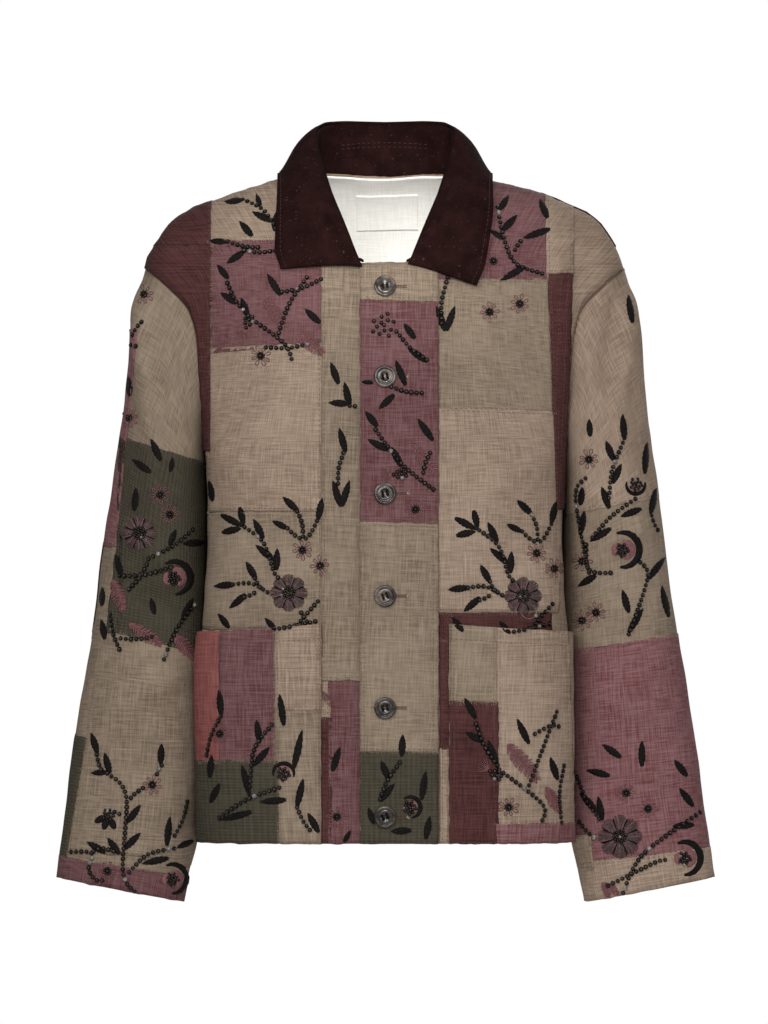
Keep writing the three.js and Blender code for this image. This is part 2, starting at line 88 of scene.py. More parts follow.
def profile(points):
    """A smooth curve through a few (at, value) pairs, held before the first one."""
    slopes = []
    for i in range(len(points)):
        a = points[max(i - 1, 0)]
        b = points[min(i + 1, len(points) - 1)]
        slopes.append((b[1] - a[1]) / (b[0] - a[0]))

    def value(at):
        if at <= points[0][0]:
            return points[0][1]
        if at >= points[-1][0]:
            return points[-1][1] + slopes[-1] * (at - points[-1][0])
        i = 0
        while points[i + 1][0] <= at:
            i += 1
        width = points[i + 1][0] - points[i][0]
        t = (at - points[i][0]) / width
        t2 = t * t
        t3 = t2 * t
        return ((2 * t3 - 3 * t2 + 1) * points[i][1] + (t3 - 2 * t2 + t) * width * slopes[i]
                + (3 * t2 - 2 * t3) * points[i + 1][1] + (t3 - t2) * width * slopes[i + 1])
    return value


def mix(a, b, t):
    return a + (b - a) * t


def clamp(t):
    return min(1.0, max(0.0, t))


def ease(t):
    t = clamp(t)
    return t * t * (3 - 2 * t)


def bell(t):
    return math.exp(-t * t)


def through(points, closed=False):
    """A smooth path through points, for a share of it from 0 to 1."""
    places = [Vector(p) for p in points]
    spans = len(places) if closed else len(places) - 1

    def pick(i):
        return places[i % len(places)] if closed else places[min(max(i, 0), spans)]

    def at(share):
        along = (share % 1.0 if closed else clamp(share)) * spans
        i = min(int(along), spans - 1)
        t = along - i
        a, b, c, d = pick(i - 1), pick(i), pick(i + 1), pick(i + 2)
        return 0.5 * (2 * b + (c - a) * t + (2 * a - 5 * b + 4 * c - d) * t * t
                      + (3 * b - a - 3 * c + d) * t * t * t)
    return at


# ---- the body form: level sections that turn over into the shoulders -----------------
half_width = profile([(-640, 187), (-540, 187), (-440, 184), (-390, 180), (-330, 179),
                      (UNDERARM, 181), (-234, 186), (-182, 202), (-128, 228), (-87, 250),
                      (0, 262), (40, 266)])
depth = {
    "front": profile([(-640, 132), (-440, 133), (-340, 131), (UNDERARM, 128), (-182, 120),
                      (-128, 110), (-84, 98), (-40, 88), (0, 80), (40, 75)]),
    "back": profile([(-640, 130), (-440, 132), (-340, 134), (UNDERARM, 136), (-182, 134),
                     (-128, 129), (-84, 121), (-40, 111), (0, 101), (40, 93)]),
}
squareness = profile([(-640, 2.8), (UNDERARM, 2.8), (-182, 2.6), (-128, 2.3), (-84, 2.15),
                      (0, 2.1), (40, 2.1)])
side_hollow = profile([(-640, 15), (-560, 17), (-400, 13), (UNDERARM, 12), (-240, 6),
                       (-215, 0), (40, 0)])
ridge = profile([(0, 14), (75, 6), (110, -4), (145, -14), (182, -28), (204, -42),
                 (217, -58), (225, -71), (230.5, -87), (236, -110)])
NECK_POINT = (75, ridge(75))


def crown(x, z, face):
    top = ridge(x)
    share = max(1 - (x / half_width(top)) ** squareness(top), 0) ** (1 / CROWN_POWER)
    peak = top + (1 - share) * CROWN_HEIGHT[face]
    return max(0.0, 1 - (peak - z) / CROWN_HEIGHT[face])


def form_value(x, y, z, face):
    n = squareness(z)
    return ((abs(x) / half_width(z)) ** n + (abs(y) / depth[face](z)) ** n
            + crown(abs(x), z, face) ** CROWN_POWER)


def form_depth(x, z, face):
    n = squareness(z)
    rest = 1 - min(x / half_width(z), 1) ** n - crown(x, z, face) ** CROWN_POWER
    return depth[face](z) * max(rest, 0) ** (1 / n)


def form_normal(x, y, z, face):
    e = 0.5
    return Vector((form_value(x + e, y, z, face) - form_value(x - e, y, z, face),
                   form_value(x, y + e, z, face) - form_value(x, y - e, z, face),
                   form_value(x, y, z + e, face) - form_value(x, y, z - e, face))).normalized()


def cloth_point(x, z, face, level=None):
    """A place on the form and its outward direction, on either half of the jacket."""
    side = -1 if x < 0 else 1
    x = abs(x)
    sign = -1 if face == "front" else 1
    across = form_depth(x, z, face) if level is None else level
    y = sign * max(across, GAP / 2)
    normal = form_normal(x, y, z, face)
    if across < GAP:
        normal.y = 0
        normal.normalize()
    hollow = side_hollow(z) * bell(y / SIDE_HOLLOW_REACH)
    return Vector((side * (x - hollow), y, z)), Vector((side * normal.x, normal.y, normal.z))


# ---- soft creases that every layer follows -------------------------------------------
# (x0, z0, x1, z1, half width, height), seen square on
CREASES = {
    "front": [
        (-240, -95, -222, -262, 9, 3.2), (-205, -172, -186, -232, 11, -3.0),
        (-160, -262, -70, -330, 17, 2.6), (-150, -470, -80, -380, 20, -2.2),
        (-118, -70, -92, -190, 20, 2.0), (-60, -150, -80, -300, 16, -1.8),
        (160, -262, 76, -318, 17, 2.6), (150, -300, 96, -400, 18, -2.4),
        (110, -80, 88, -210, 20, 1.8), (62, -190, 80, -360, 14, -1.6),
        (229, -95, 206, -225, 9, -3.0), (240, -120, 252, -240, 11, 3.0),
        (-262, -330, -182, -392, 10, 3.0), (-268, -372, -190, -432, 10, -2.6),
        (-186, -470, -268, -520, 12, 2.8), (-196, -560, -280, -575, 12, -2.0),
        (262, -330, 184, -380, 10, 3.0), (186, -420, 268, -448, 10, -2.8),
        (190, -492, 272, -520, 12, 2.6), (200, -585, 290, -600, 12, -2.0),
        (-30, -330, 40, -352, 12, -1.0), (-20, -456, 45, -448, 12, 1.0),
    ],
    "back": [
        (-160, -262, -60, -350, 18, 2.8), (160, -262, 60, -350, 18, 2.8),
        (-150, -110, -40, -96, 16, 2.0), (150, -110, 40, -96, 16, 2.0),
        (-20, -250, -36, -560, 20, 2.2), (44, -300, 26, -600, 20, -2.2),
        (-120, -400, -96, -600, 18, -2.0), (118, -380, 130, -600, 18, 2.0),
        (-262, -330, -182, -392, 10, 3.0), (262, -330, 184, -380, 10, 3.0),
        (-186, -470, -268, -520, 12, -2.6), (186, -440, 268, -478, 12, 2.8),
        (-196, -560, -280, -585, 12, 2.2), (200, -560, 286, -590, 12, -2.2),
    ],
}


def crease_height(x, z, crease):
    x0, z0, x1, z1, reach, height = crease
    run = Vector((x1 - x0, z1 - z0))
    away = Vector((x - x0, z - z0))
    share = away.dot(run) / run.length_squared
    beyond = max(0.0, -share, share - 1) * run.length
    off = abs(away.cross(run)) / run.length
    if off > 3 * reach or beyond > 3 * reach:
        return 0.0
    ends = 0.35 + 0.65 * math.sin(math.pi * clamp(share))
    return 1.5 * height * bell(off / reach) * bell(beyond / (1.2 * reach)) * ends


def rumple(p):
    """How far the cloth stands off its smooth form at a place."""
    face = "front" if p.y < 0 else "back"
    lift = 2.3 * noise.noise(Vector((p.x / 62, p.y / 90, p.z / 88)))
    lift += 0.95 * noise.noise(Vector((p.x / 24, p.y / 34, p.z / 31 + 7)))
    folds = sum(crease_height(p.x, p.z, crease) for crease in CREASES[face])
    return lift + folds * ease(abs(p.y) / 32)


# ---- cloth pieces as grids carried onto the form -------------------------------------
def grid_piece(columns, rows, size, place, level=False):
    """A bmesh grid placed by place(u, v), its UV map in metres; level keeps the weft level."""
    bm = bmesh.new()
    uv = bm.loops.layers.uv.new("UVMap")
    bmesh.ops.create_grid(bm, x_segments=columns, y_segments=rows, size=0.5)
    shares = {v: (v.co.x + 0.5, v.co.y + 0.5) for v in bm.verts}
    for vert, (u, v) in shares.items():
        vert.co = place(u, v) * MM
    for f in bm.faces:
        for loop in f.loops:
            u, v = shares[loop.vert]
            loop[uv].uv = (u * size[0], loop.vert.co.z if level else v * size[1])
    bm.normal_update()
    return bm


def face_outward(bm, probe):
    """Turns the grid over if its faces look away from where probe says outward is."""
    face = bm.faces[:][len(bm.faces) // 2]
    if face.normal.dot(probe(face.calc_center_median())) < 0:
        bmesh.ops.reverse_faces(bm, faces=bm.faces)
    bm.normal_update()


def radial(centre):
    return lambda at: at - Vector(centre) * MM


@lru_cache(maxsize=None)
def section(z, face, x0):
    """The level section from x0 to the side, as places and their running length."""
    n = squareness(z)
    start = math.asin((x0 / half_width(z)) ** (n / 2))
    places = []
    run = [0.0]
    for i in range(161):
        angle = mix(start, math.pi / 2, i / 160)
        places.append((half_width(z) * math.sin(angle) ** (2 / n),
                       depth[face](z) * max(math.cos(angle), 0) ** (2 / n)))
        if i:
            run.append(run[-1] + math.dist(places[-1], places[-2]))
    return places, run


def section_place(z, face, x0, share):
    places, run = section(round(z, 3), face, x0)
    wanted = share * run[-1]
    i = 1
    while i < 160 and run[i] < wanted:
        i += 1
    t = clamp((wanted - run[i - 1]) / (run[i] - run[i - 1]))
    return [mix(a, b, t) for a, b in zip(places[i - 1], places[i])]


ARMHOLE = [(230.5, -87), (222.5, -94), (208, -107), (190, -126), (182, -150), (178.8, -178),
           (176.8, -206), (176.2, -230), (177.6, -248), (180, -262), (181, UNDERARM)]
armhole_path = through([(x, z, 0) for x, z in ARMHOLE])
FRONT_INNER = [(50, UNDERARM), (50, -245), (50, -214), (50, -179), (50, -136),
               (50, NECK_FRONT), (55, -60), (61, -36), (67, -16), (72, -2), NECK_POINT]
BACK_INNER = [(0, UNDERARM), (0, -240), (0, -212), (0, -184), (0, -156), (0, -128), (0, -100),
              (0, -72), (0, -46), (0, -20), (0, NECK_BACK)]
inner_path = {"front": through([(x, z, 0) for x, z in FRONT_INNER]),
              "back": through([(x, z, 0) for x, z in BACK_INNER])}


def shoulder_top(face, u):
    if face == "front":
        x = mix(NECK_POINT[0], ARMHOLE[0][0], u)
        return x, ridge(x)
    share = u / 0.3
    if share < 1:
        return NECK_POINT[0] * share, mix(NECK_BACK, NECK_POINT[1], share * share)
    x = mix(NECK_POINT[0], ARMHOLE[0][0], (share - 1) / (1 / 0.3 - 1))
    return x, ridge(x)


def half_panel_place(face, u, v):
    """A place and direction on one half of a body panel: u to the side, v up the rows."""
    x0 = {"front": 50, "back": 0}[face]
    if v <= LOWER_SHARE:
        z = mix(HEM, UNDERARM, v / LOWER_SHARE)
        x, y = section_place(z, face, x0, u)
        return cloth_point(x, z, face, y)
    up = (v - LOWER_SHARE) / (1 - LOWER_SHARE)
    chest = section_place(UNDERARM, face, x0, u)[0]
    u = mix((chest - x0) / (half_width(UNDERARM) - x0), u, ease(up * 1.4))
    inner = inner_path[face](up)
    arm = armhole_path(1 - up)
    crest = shoulder_top(face, u)
    corner = inner_path[face](1)
    x = mix(inner.x, arm.x, u) + up * (crest[0] - mix(corner.x, ARMHOLE[0][0], u))
    z = mix(inner.y, arm.y, u) + up * (crest[1] - mix(corner.y, ARMHOLE[0][1], u))
    return cloth_point(x, z, face)


def stand_off(p, n, lift):
    return p + n * (lift + rumple(p))


def drape_fold(p, u):
    """The soft upright fold that hides the wearer's left armhole seam."""
    return (5 * bell((p.x - 168) / 13) * ease((p.z + 240) / 60) * ease((-25 - p.z) / 40)
            * ease((-25 - p.y) / 30) * ease((1 - u) * 12))


def front_panel(side):
    def place(u, v):
        p, n = half_panel_place("front", u, v)
        fold = drape_fold(p, u) if side > 0 else 0
        p = Vector((side * p.x, p.y, p.z))
        n = Vector((side * n.x, n.y, n.z))
        return stand_off(p, n, fold)
    bm = grid_piece(48, 120, (0.24, 0.68), place, True)
    face_outward(bm, radial((0, 40, -300)))
    return bm


def back_panel():
    def place(u, v):
        side = -1 if u < 0.5 else 1
        p, n = half_panel_place("back", abs(2 * u - 1), v)
        return stand_off(Vector((side * p.x, p.y, p.z)), Vector((side * n.x, n.y, n.z)), 0)
    bm = grid_piece(96, 116, (0.52, 0.68), place, True)
    face_outward(bm, radial((0, -40, -300)))
    return bm


def front_strip(x0, x1, lift, columns, rows=110):
    """An upright strip between two places across the front, hem to neck."""
    def place(u, v):
        x = mix(x0, x1, u)
        z = mix(HEM, NECK_FRONT, v)
        p, n = cloth_point(x, z, "front")
        return stand_off(p, n, lift(x))
    bm = grid_piece(columns, rows, (abs(x1 - x0) * MM, 0.556), place)
    face_outward(bm, radial((0, 40, -300)))
    return bm


def pocket_panel(side):
    def place(u, v):
        mouth = POCKET_MOUTH + POCKET_TILT * (0.5 - u)
        z = mix(HEM, mouth, v)
        _, run = section(round(z, 3), "front", 50)
        share = mix(11, mix(11, run[-1], 7 / 9), u) / run[-1]
        x, y = section_place(z, "front", 50, share)
        p, n = cloth_point(x, z, "front", y)
        p = Vector((side * p.x, p.y, p.z))
        n = Vector((side * n.x, n.y, n.z))
        slack = POCKET_SLACK * math.sin(math.pi * u) ** 0.8 * v ** 0.7
        sag = 0.5 * slack * ease((v - 0.7) / 0.3)
        return stand_off(p, n, slack + GAP + THIN + PATCH_LIFT) - Vector((0, 0, 0.3 * sag))
    bm = grid_piece(30, 44, (0.125, 0.205), place, True)
    face_outward(bm, radial((0, 40, -500)))
    return bm


# ---- sleeves -------------------------------------------------------------------------
outer_line = profile([(-675, 316), (-618, 309), (-503, 293), (-388, 275.5), (-273, 260),
                      (-215, 251.5), (-157, 245), (-129, 241), (-100, 234), (-87, 230.5)])
inner_line = profile([(-698, 195), (-665, 188), (-640, 182.5), (-600, 177), (-540, 175),
                      (-440, 174), (-340, 171.5), (-290, 171), (UNDERARM, 169.4)])
sleeve_half_depth = profile([(0, 80), (0.1, 84), (0.25, 80), (0.45, 71), (0.7, 57), (1, 45)])
sleeve_forward = profile([(0, 0), (0.4, 0), (1, -14)])


def sleeve_ellipse(t, angle):
    outer = mix(ARMHOLE[0][1], CUFF_OUTER[1], t)
    inner = mix(UNDERARM, CUFF_INNER[1], t ** 1.6)
    a = Vector((outer_line(outer), 0, outer))
    b = Vector((inner_line(inner), 0, inner))
    power = 2 / 2.3
    c = math.copysign(abs(math.cos(angle)) ** power, math.cos(angle))
    s = math.copysign(abs(math.sin(angle)) ** power, math.sin(angle))
    point = (a + b) / 2 + (a - b) * (c / 2)
    point.y = sleeve_forward(t) - s * sleeve_half_depth(t)
    return point


def armhole_points():
    steps = len(ARMHOLE) - 1
    points = []
    for k in range(2 * steps):
        face = "front" if k <= steps else "back"
        x, z = ARMHOLE[k if k <= steps else 2 * steps - k]
        p = cloth_point(x, z, face)[0]
        if k in (0, steps):
            p.y = 0
        points.append(p)
    return points


armhole_loop = through(armhole_points(), closed=True)


def sleeve_place(t, share):
    angle = 2 * math.pi * share
    carry = clamp(1 - t / 0.42) ** 2
    start = armhole_loop(share) - sleeve_ellipse(0, angle)
    return sleeve_ellipse(t, angle) + start * carry


def sleeve(side):
    def place(u, v):
        p = sleeve_place(v ** 1.1, u % 1.0)
        return Vector((side * p.x, p.y, p.z))
    bm = grid_piece(72, 110, (0.42, 0.60), place)
    fold = {v: sleeve_share(v) for v in bm.verts}
    bmesh.ops.remove_doubles(bm, verts=bm.verts, dist=SAME_PLACE)
    bmesh.ops.recalc_face_normals(bm, faces=bm.faces)
    face_outward(bm, lambda at: at - Vector((side * 0.5 * (abs(at.x) + 0.2), 0, at.z)))
    normals = {v: v.normal.copy() for v in bm.verts}
    for v in bm.verts:
        v.co += normals[v] * (rumple(v.co / MM) + fold.get(v, 0)) * MM
    bm.normal_update()
    return bm


def sleeve_share(v):
    """The upright fold down the front of the upper sleeve."""
    p = v.co / MM
    if p.y > 0:
        return 0
    line = mix(236, 226, clamp((-90 - p.z) / 170))
    return 4.0 * bell((abs(p.x) - line) / 9) * ease((-92 - p.z) / 40) * ease((p.z + 275) / 80)


# ---- collar --------------------------------------------------------------------------
fold_line = through([(0, 62, 56), (26, 59, 56.5), (46, 48, 56), (59, 28, 53), (65, 4, 44),
                     (61.5, -22, 20), (52, -48, -13), (37, -74, -50), (21.5, -99, -80)])
fall_edge = through([(0, 79, -15), (31, 77, -15), (59, 67, -10), (84, 46, -6), (100, 15, 1),
                     (103, -18, 1), (104, -50, -13), (105, -80, -48), (105.5, -97, -86)])
fall_rise = profile([(0, 4), (0.5, 7), (0.75, 9), (0.9, 7), (1, 4)])
COLLAR_CLOTH = 2.2
neck_seam = [cloth_point(x, z, "back")[0] for x, z in ((0, 3), (25, 3.4), (50, 4.4), (75, 6))]
neck_seam += [cloth_point(x, z, "front")[0] for x, z in FRONT_INNER[9:4:-1]]
neck_seam += [cloth_point(x, NECK_FRONT, "front")[0] for x in (36, 22)]
neck_side = through(neck_seam[:4])
neck_front = through(neck_seam[3:])


def neck_place(s):
    return neck_side(2 * s) if s < 0.5 else neck_front(2 * s - 1)


def pushed_clear(point, gap):
    face = "front" if point.y < 0 else "back"
    for _ in range(60):
        outward = form_normal(abs(point.x), point.y, point.z, face)
        probe = point - outward * gap
        if form_value(probe.x, probe.y, probe.z, face) >= 1:
            break
        point = point + outward * 0.4
    return point


def mirrored(u, half):
    """A place on one half of the collar, or its mirror image."""
    side = -1 if u < 0.5 else 1
    p = half(abs(2 * u - 1), side)
    return Vector((side * p.x, p.y, p.z))


def corner_drop(s, v, side):
    """The front corners hang over the neck edge, the wearer's left one lower and further in."""
    near = ease((s - 0.8) / 0.2)
    if side < 0:
        return Vector((0, 0, -(10 - 4 * v) * near))
    return Vector((-13 * v * near, 0, -(8 + 16 * v) * near))


def fall_half(s, v, side):
    fold = fold_line(s)
    reach = 1 - 0.07 * ease((s - 0.93) / 0.07)
    edge = fold.lerp(fall_edge(s), reach)
    ahead = fold_line(min(s + 0.02, 1)) - fold_line(max(s - 0.02, 0))
    outward = (edge - fold).cross(ahead).normalized()
    if outward.z < 0:
        outward.negate()
    point = fold.lerp(edge, v) + outward * fall_rise(s) * math.sin(math.pi * v ** 0.7)
    point += outward * 0.8 * noise.noise(Vector((s * 9, v * 3, 4)))
    point += corner_drop(s, v, side)
    near = max(ease((v - 0.15) / 0.15), ease((s - 0.75) / 0.25))
    if near > 0:
        gap = COLLAR_CLOTH + 2.9 + 2.6 * ease((s - 0.75) / 0.25)
        point = point.lerp(pushed_clear(point, gap), near)
    return point + outward * COLLAR_CLOTH


def collar_fall():
    bm = grid_piece(120, 22, (0.50, 0.075),
                    lambda u, v: mirrored(u, lambda s, side: fall_half(s, v, side)))
    face_outward(bm, radial((0, 0, -40)))
    return bm


def stand_half(s, v):
    fold = fold_line(s)
    seam = neck_place(s)
    rise = (fold - seam).normalized()
    seam = seam + rise * (3 if s > 0.5 else 0.6)
    point = seam.lerp(fold, v * (1 - 0.75 * ease((s - 0.9) / 0.1)))
    point.z -= v * (COLLAR_CLOTH + GAP) - GAP
    return point


def collar_stand():
    bm = grid_piece(96, 12, (0.42, 0.05),
                    lambda u, v: mirrored(u, lambda s, side: stand_half(s, v)))
    middle = min(bm.faces, key=lambda f: abs(f.calc_center_median().x))
    if middle.normal.y > 0:
        bmesh.ops.reverse_faces(bm, faces=bm.faces)
    bm.normal_update()
    return bm


def neck_lining():
    def place(u, v):
        x = mix(-165, 165, u)
        if abs(x) < NECK_POINT[0]:
            top = mix(NECK_BACK, NECK_POINT[1], clamp(abs(x) / NECK_POINT[0]) ** 2)
        else:
            top = ridge(abs(x))
        z = mix(-190, top + 0.3, v)
        p, n = cloth_point(x, z, "back")
        return stand_off(p, n, -CLOTH - GAP - 0.9)
    bm = grid_piece(70, 130, (0.35, 0.20), place)
    face_outward(bm, lambda at: Vector((0, -1, 0)))
    return bm


def label():
    def place(u, v):
        p, n = cloth_point(mix(-28, 32, u), mix(-46, -12, v), "back")
        return stand_off(p, n, -CLOTH - GAP - 2.3)
    bm = grid_piece(60, 34, (0.060, 0.034), place)
    face_outward(bm, lambda at: Vector((0, -1, 0)))
    return bm


# ---- materials -----------------------------------------------------------------------
def srgb(r, g, b):
    """A colour from its screen values, as the shader's linear ones."""
    linear = [(c / 255 / 12.92) if c <= 10 else ((c / 255 + 0.055) / 1.055) ** 2.4
              for c in (r, g, b)]
    return (*linear, 1.0)


def shader_group(name, inputs, outputs):
    tree = bpy.data.node_groups.new(name, "ShaderNodeTree")
    for label_, kind, value in inputs:
        socket = tree.interface.new_socket(label_, in_out="INPUT", socket_type=kind)
        if value is not None:
            socket.default_value = value
    for label_, kind in outputs:
        tree.interface.new_socket(label_, in_out="OUTPUT", socket_type=kind)
    return tree, tree.nodes.new("NodeGroupInput"), tree.nodes.new("NodeGroupOutput")


def add(tree, kind, **values):
    """A node with its properties and its unlinked inputs set by name."""
    node = tree.nodes.new(kind)
    for key, value in values.items():
        if key == "inputs":
            for socket, amount in value.items():
                node.inputs[socket].default_value = amount
        else:
            setattr(node, key, value)
    return node


def link(tree, a, b):
    tree.links.new(a, b)


def math_node(tree, operation, a, b=None, clamped=False):
    node = add(tree, "ShaderNodeMath", operation=operation, use_clamp=clamped)
    for i, value in enumerate((a, b)):
        if value is None:
            continue
        if isinstance(value, (int, float)):
            node.inputs[i].default_value = value
        else:
            link(tree, value, node.inputs[i])
    return node.outputs[0]


def noise_at(tree, vector, scale, detail=2.0, rough=0.5):
    mapping = add(tree, "ShaderNodeMapping", inputs={"Scale": scale})
    link(tree, vector, mapping.inputs["Vector"])
    texture = add(tree, "ShaderNodeTexNoise", inputs={"Scale": 1.0, "Detail": detail,
                                                      "Roughness": rough})
    link(tree, mapping.outputs[0], texture.inputs["Vector"])
    return texture.outputs[0]


def above(tree, value, low, high):
    ramp = add(tree, "ShaderNodeMapRange", interpolation_type="SMOOTHSTEP",
               inputs={"From Min": low, "From Max": high})
    link(tree, value, ramp.inputs["Value"])
    return ramp.outputs[0]


def handloom_group():
    """Slubby plain weave: tone of the threads, thick slubs, dark flecks and their height."""
    tree, start, end = shader_group(
        "handloom", [("Vector", "NodeSocketVector", None)],
        [("Tone", "NodeSocketFloat"), ("Slub", "NodeSocketFloat"),
         ("Fleck", "NodeSocketFloat"), ("Height", "NodeSocketFloat")])
    at = start.outputs["Vector"]
    warp = noise_at(tree, at, (760, 36, 1), 2, 0.7)
    weft = noise_at(tree, at, (36, 660, 1), 2, 0.7)
    tone = math_node(tree, "MULTIPLY", math_node(tree, "ADD", warp, weft), 0.5)
    slub = math_node(tree, "MAXIMUM", above(tree, noise_at(tree, at, (380, 22, 1), 1), 0.62, 0.72),
                     above(tree, noise_at(tree, at, (20, 360, 1), 1), 0.64, 0.74))
    fleck = above(tree, noise_at(tree, at, (300, 240, 1), 1), 0.735, 0.78)
    height = math_node(tree, "ADD", tone, math_node(tree, "MULTIPLY", slub, 0.45))
    link(tree, above(tree, tone, 0.35, 0.65), end.inputs["Tone"])
    link(tree, slub, end.inputs["Slub"])
    link(tree, fleck, end.inputs["Fleck"])
    link(tree, height, end.inputs["Height"])
    return tree


def rib_grid_group():
    """Fine raised ribs both ways, as in a dobby cloth."""
    tree, start, end = shader_group(
        "rib_grid", [("Vector", "NodeSocketVector", None)],
        [("Rib", "NodeSocketFloat"), ("Height", "NodeSocketFloat")])
    apart = add(tree, "ShaderNodeSeparateXYZ")
    link(tree, start.outputs["Vector"], apart.inputs[0])
    ribs = []
    for axis, pitch in (("X", 1250), ("Y", 2100)):
        wave = math_node(tree, "SINE", math_node(tree, "MULTIPLY", apart.outputs[axis], pitch))
        ribs.append(math_node(tree, "MULTIPLY", math_node(tree, "ADD", wave, 1), 0.5))
    both = math_node(tree, "MULTIPLY", math_node(tree, "ADD", ribs[0], ribs[1]), 0.5)
    link(tree, both, end.inputs["Rib"])
    link(tree, both, end.inputs["Height"])
    return tree


def wear_group():
    """Cloudy fading of worn, much washed cloth, from broad to hand-sized."""
    tree, start, end = shader_group(
        "washed_wear", [("Vector", "NodeSocketVector", None)],
        [("Faded", "NodeSocketFloat"), ("Dark", "NodeSocketFloat")])
    at = start.outputs["Vector"]
    link(tree, above(tree, noise_at(tree, at, (9, 9, 9), 3, 0.6), 0.42, 0.72), end.inputs["Faded"])
    link(tree, above(tree, noise_at(tree, at, (24, 24, 17), 3, 0.6), 0.50, 0.75),
         end.inputs["Dark"])
    return tree


def nap_group():
    """Short brushed nap with a little lint."""
    tree, start, end = shader_group(
        "brushed_nap", [("Vector", "NodeSocketVector", None)],
        [("Nap", "NodeSocketFloat"), ("Lint", "NodeSocketFloat"), ("Height", "NodeSocketFloat")])
    at = start.outputs["Vector"]
    fine = noise_at(tree, at, (1300, 1300, 1300), 3, 0.6)
    broad = noise_at(tree, at, (60, 60, 60), 3, 0.6)
    link(tree, math_node(tree, "ADD", math_node(tree, "MULTIPLY", fine, 0.5),
                         math_node(tree, "MULTIPLY", broad, 0.5)), end.inputs["Nap"])
    link(tree, above(tree, noise_at(tree, at, (420, 420, 420), 1), 0.70, 0.76),
         end.inputs["Lint"])
    link(tree, fine, end.inputs["Height"])
    return tree


HANDLOOM = handloom_group()
RIB_GRID = rib_grid_group()
WEAR = wear_group()
NAP = nap_group()


def material(name, rough, sheen=0.0, specular=0.5):
    made = bpy.data.materials.new(name)
    made.use_nodes = True
    shader = made.node_tree.nodes["Principled BSDF"]
    shader.inputs["Roughness"].default_value = rough
    shader.inputs["Sheen Weight"].default_value = sheen
    shader.inputs["Sheen Roughness"].default_value = 0.5
    shader.inputs["Specular IOR Level"].default_value = specular
    return made, made.node_tree, shader


def group_node(tree, group, vector):
    node = add(tree, "ShaderNodeGroup", node_tree=group)
    link(tree, vector, node.inputs["Vector"])
    return node


def blend_colour(tree, share, a, b):
    node = add(tree, "ShaderNodeMix", data_type="RGBA")
    for socket, value in ((node.inputs[0], share), (node.inputs[6], a), (node.inputs[7], b)):
        if isinstance(value, (tuple, float, int)):
            socket.default_value = value
        else:
            link(tree, value, socket)
    return node.outputs[2]


def bump(tree, height, strength, distance, shader):
    node = add(tree, "ShaderNodeBump", inputs={"Strength": strength, "Distance": distance})
    link(tree, height, node.inputs["Height"])
    link(tree, node.outputs[0], shader.inputs["Normal"])


def cloth_vector(tree, turn=0.0):
    uv = add(tree, "ShaderNodeUVMap", uv_map="UVMap")
    mapping = add(tree, "ShaderNodeMapping", inputs={"Rotation": (0, 0, turn)})
    link(tree, uv.outputs[0], mapping.inputs["Vector"])
    return mapping.outputs[0]


def worn_colour(tree, colour, faded, dark):
    at = add(tree, "ShaderNodeTexCoord").outputs["Object"]
    wear = group_node(tree, WEAR, at)
    light = math_node(tree, "MULTIPLY", wear.outputs["Faded"], 0.30)
    deep = math_node(tree, "MULTIPLY", wear.outputs["Dark"], 0.30)
    colour = blend_colour(tree, light, colour, faded)
    return blend_colour(tree, deep, colour, dark)


def khadi(name, deep, pale, slub, fleck, turn=0.0, bump_height=0.0007):
    """Handloom cloth: two thread tones, paler slubs and dark flecks."""
    made, tree, shader = material(name, 0.95, 0.0, 0.12)
    weave = group_node(tree, HANDLOOM, cloth_vector(tree, turn))
    colour = blend_colour(tree, weave.outputs["Tone"], deep, pale)
    colour = blend_colour(tree, math_node(tree, "MULTIPLY", weave.outputs["Slub"], 0.3),
                          colour, slub)
    colour = blend_colour(tree, math_node(tree, "MULTIPLY", weave.outputs["Fleck"], 0.45),
                          colour, fleck)
    colour = worn_colour(tree, colour, slub, deep)
    link(tree, colour, shader.inputs["Base Color"])
    bump(tree, weave.outputs["Height"], 0.4, bump_height, shader)
    return made


def ribbed(name, deep, pale):
    made, tree, shader = material(name, 0.95, 0.0, 0.12)
    at = cloth_vector(tree)
    weave = group_node(tree, HANDLOOM, at)
    ribs = group_node(tree, RIB_GRID, at)
    tone = math_node(tree, "MULTIPLY", math_node(tree, "ADD", ribs.outputs["Rib"],
                                                 weave.outputs["Tone"]), 0.5)
    colour = worn_colour(tree, blend_colour(tree, tone, deep, pale), pale, deep)
    link(tree, colour, shader.inputs["Base Color"])
    bump(tree, ribs.outputs["Height"], 0.8, 0.0006, shader)
    return made


def moleskin(name, deep, pale, lint):
    made, tree, shader = material(name, 0.95, 0.0, 0.04)
    at = add(tree, "ShaderNodeTexCoord").outputs["Object"]
    nap = group_node(tree, NAP, at)
    colour = blend_colour(tree, above(tree, nap.outputs["Nap"], 0.36, 0.66), deep, pale)
    colour = blend_colour(tree, math_node(tree, "MULTIPLY", nap.outputs["Lint"], 0.35),
                          colour, lint)
    link(tree, colour, shader.inputs["Base Color"])
    bump(tree, nap.outputs["Height"], 0.6, 0.0006, shader)
    return made


def floss(name, deep, pale, rough, sheen=0.1, scale=1500):
    """Thread and floss: fine uneven lustre along the strands."""
    made, tree, shader = material(name, rough, sheen, 0.08)
    at = add(tree, "ShaderNodeTexCoord").outputs["Object"]
    tone = above(tree, noise_at(tree, at, (scale, scale, scale), 2), 0.35, 0.68)
    link(tree, blend_colour(tree, tone, deep, pale), shader.inputs["Base Color"])
    bump(tree, tone, 0.4, 0.0003, shader)
    return made


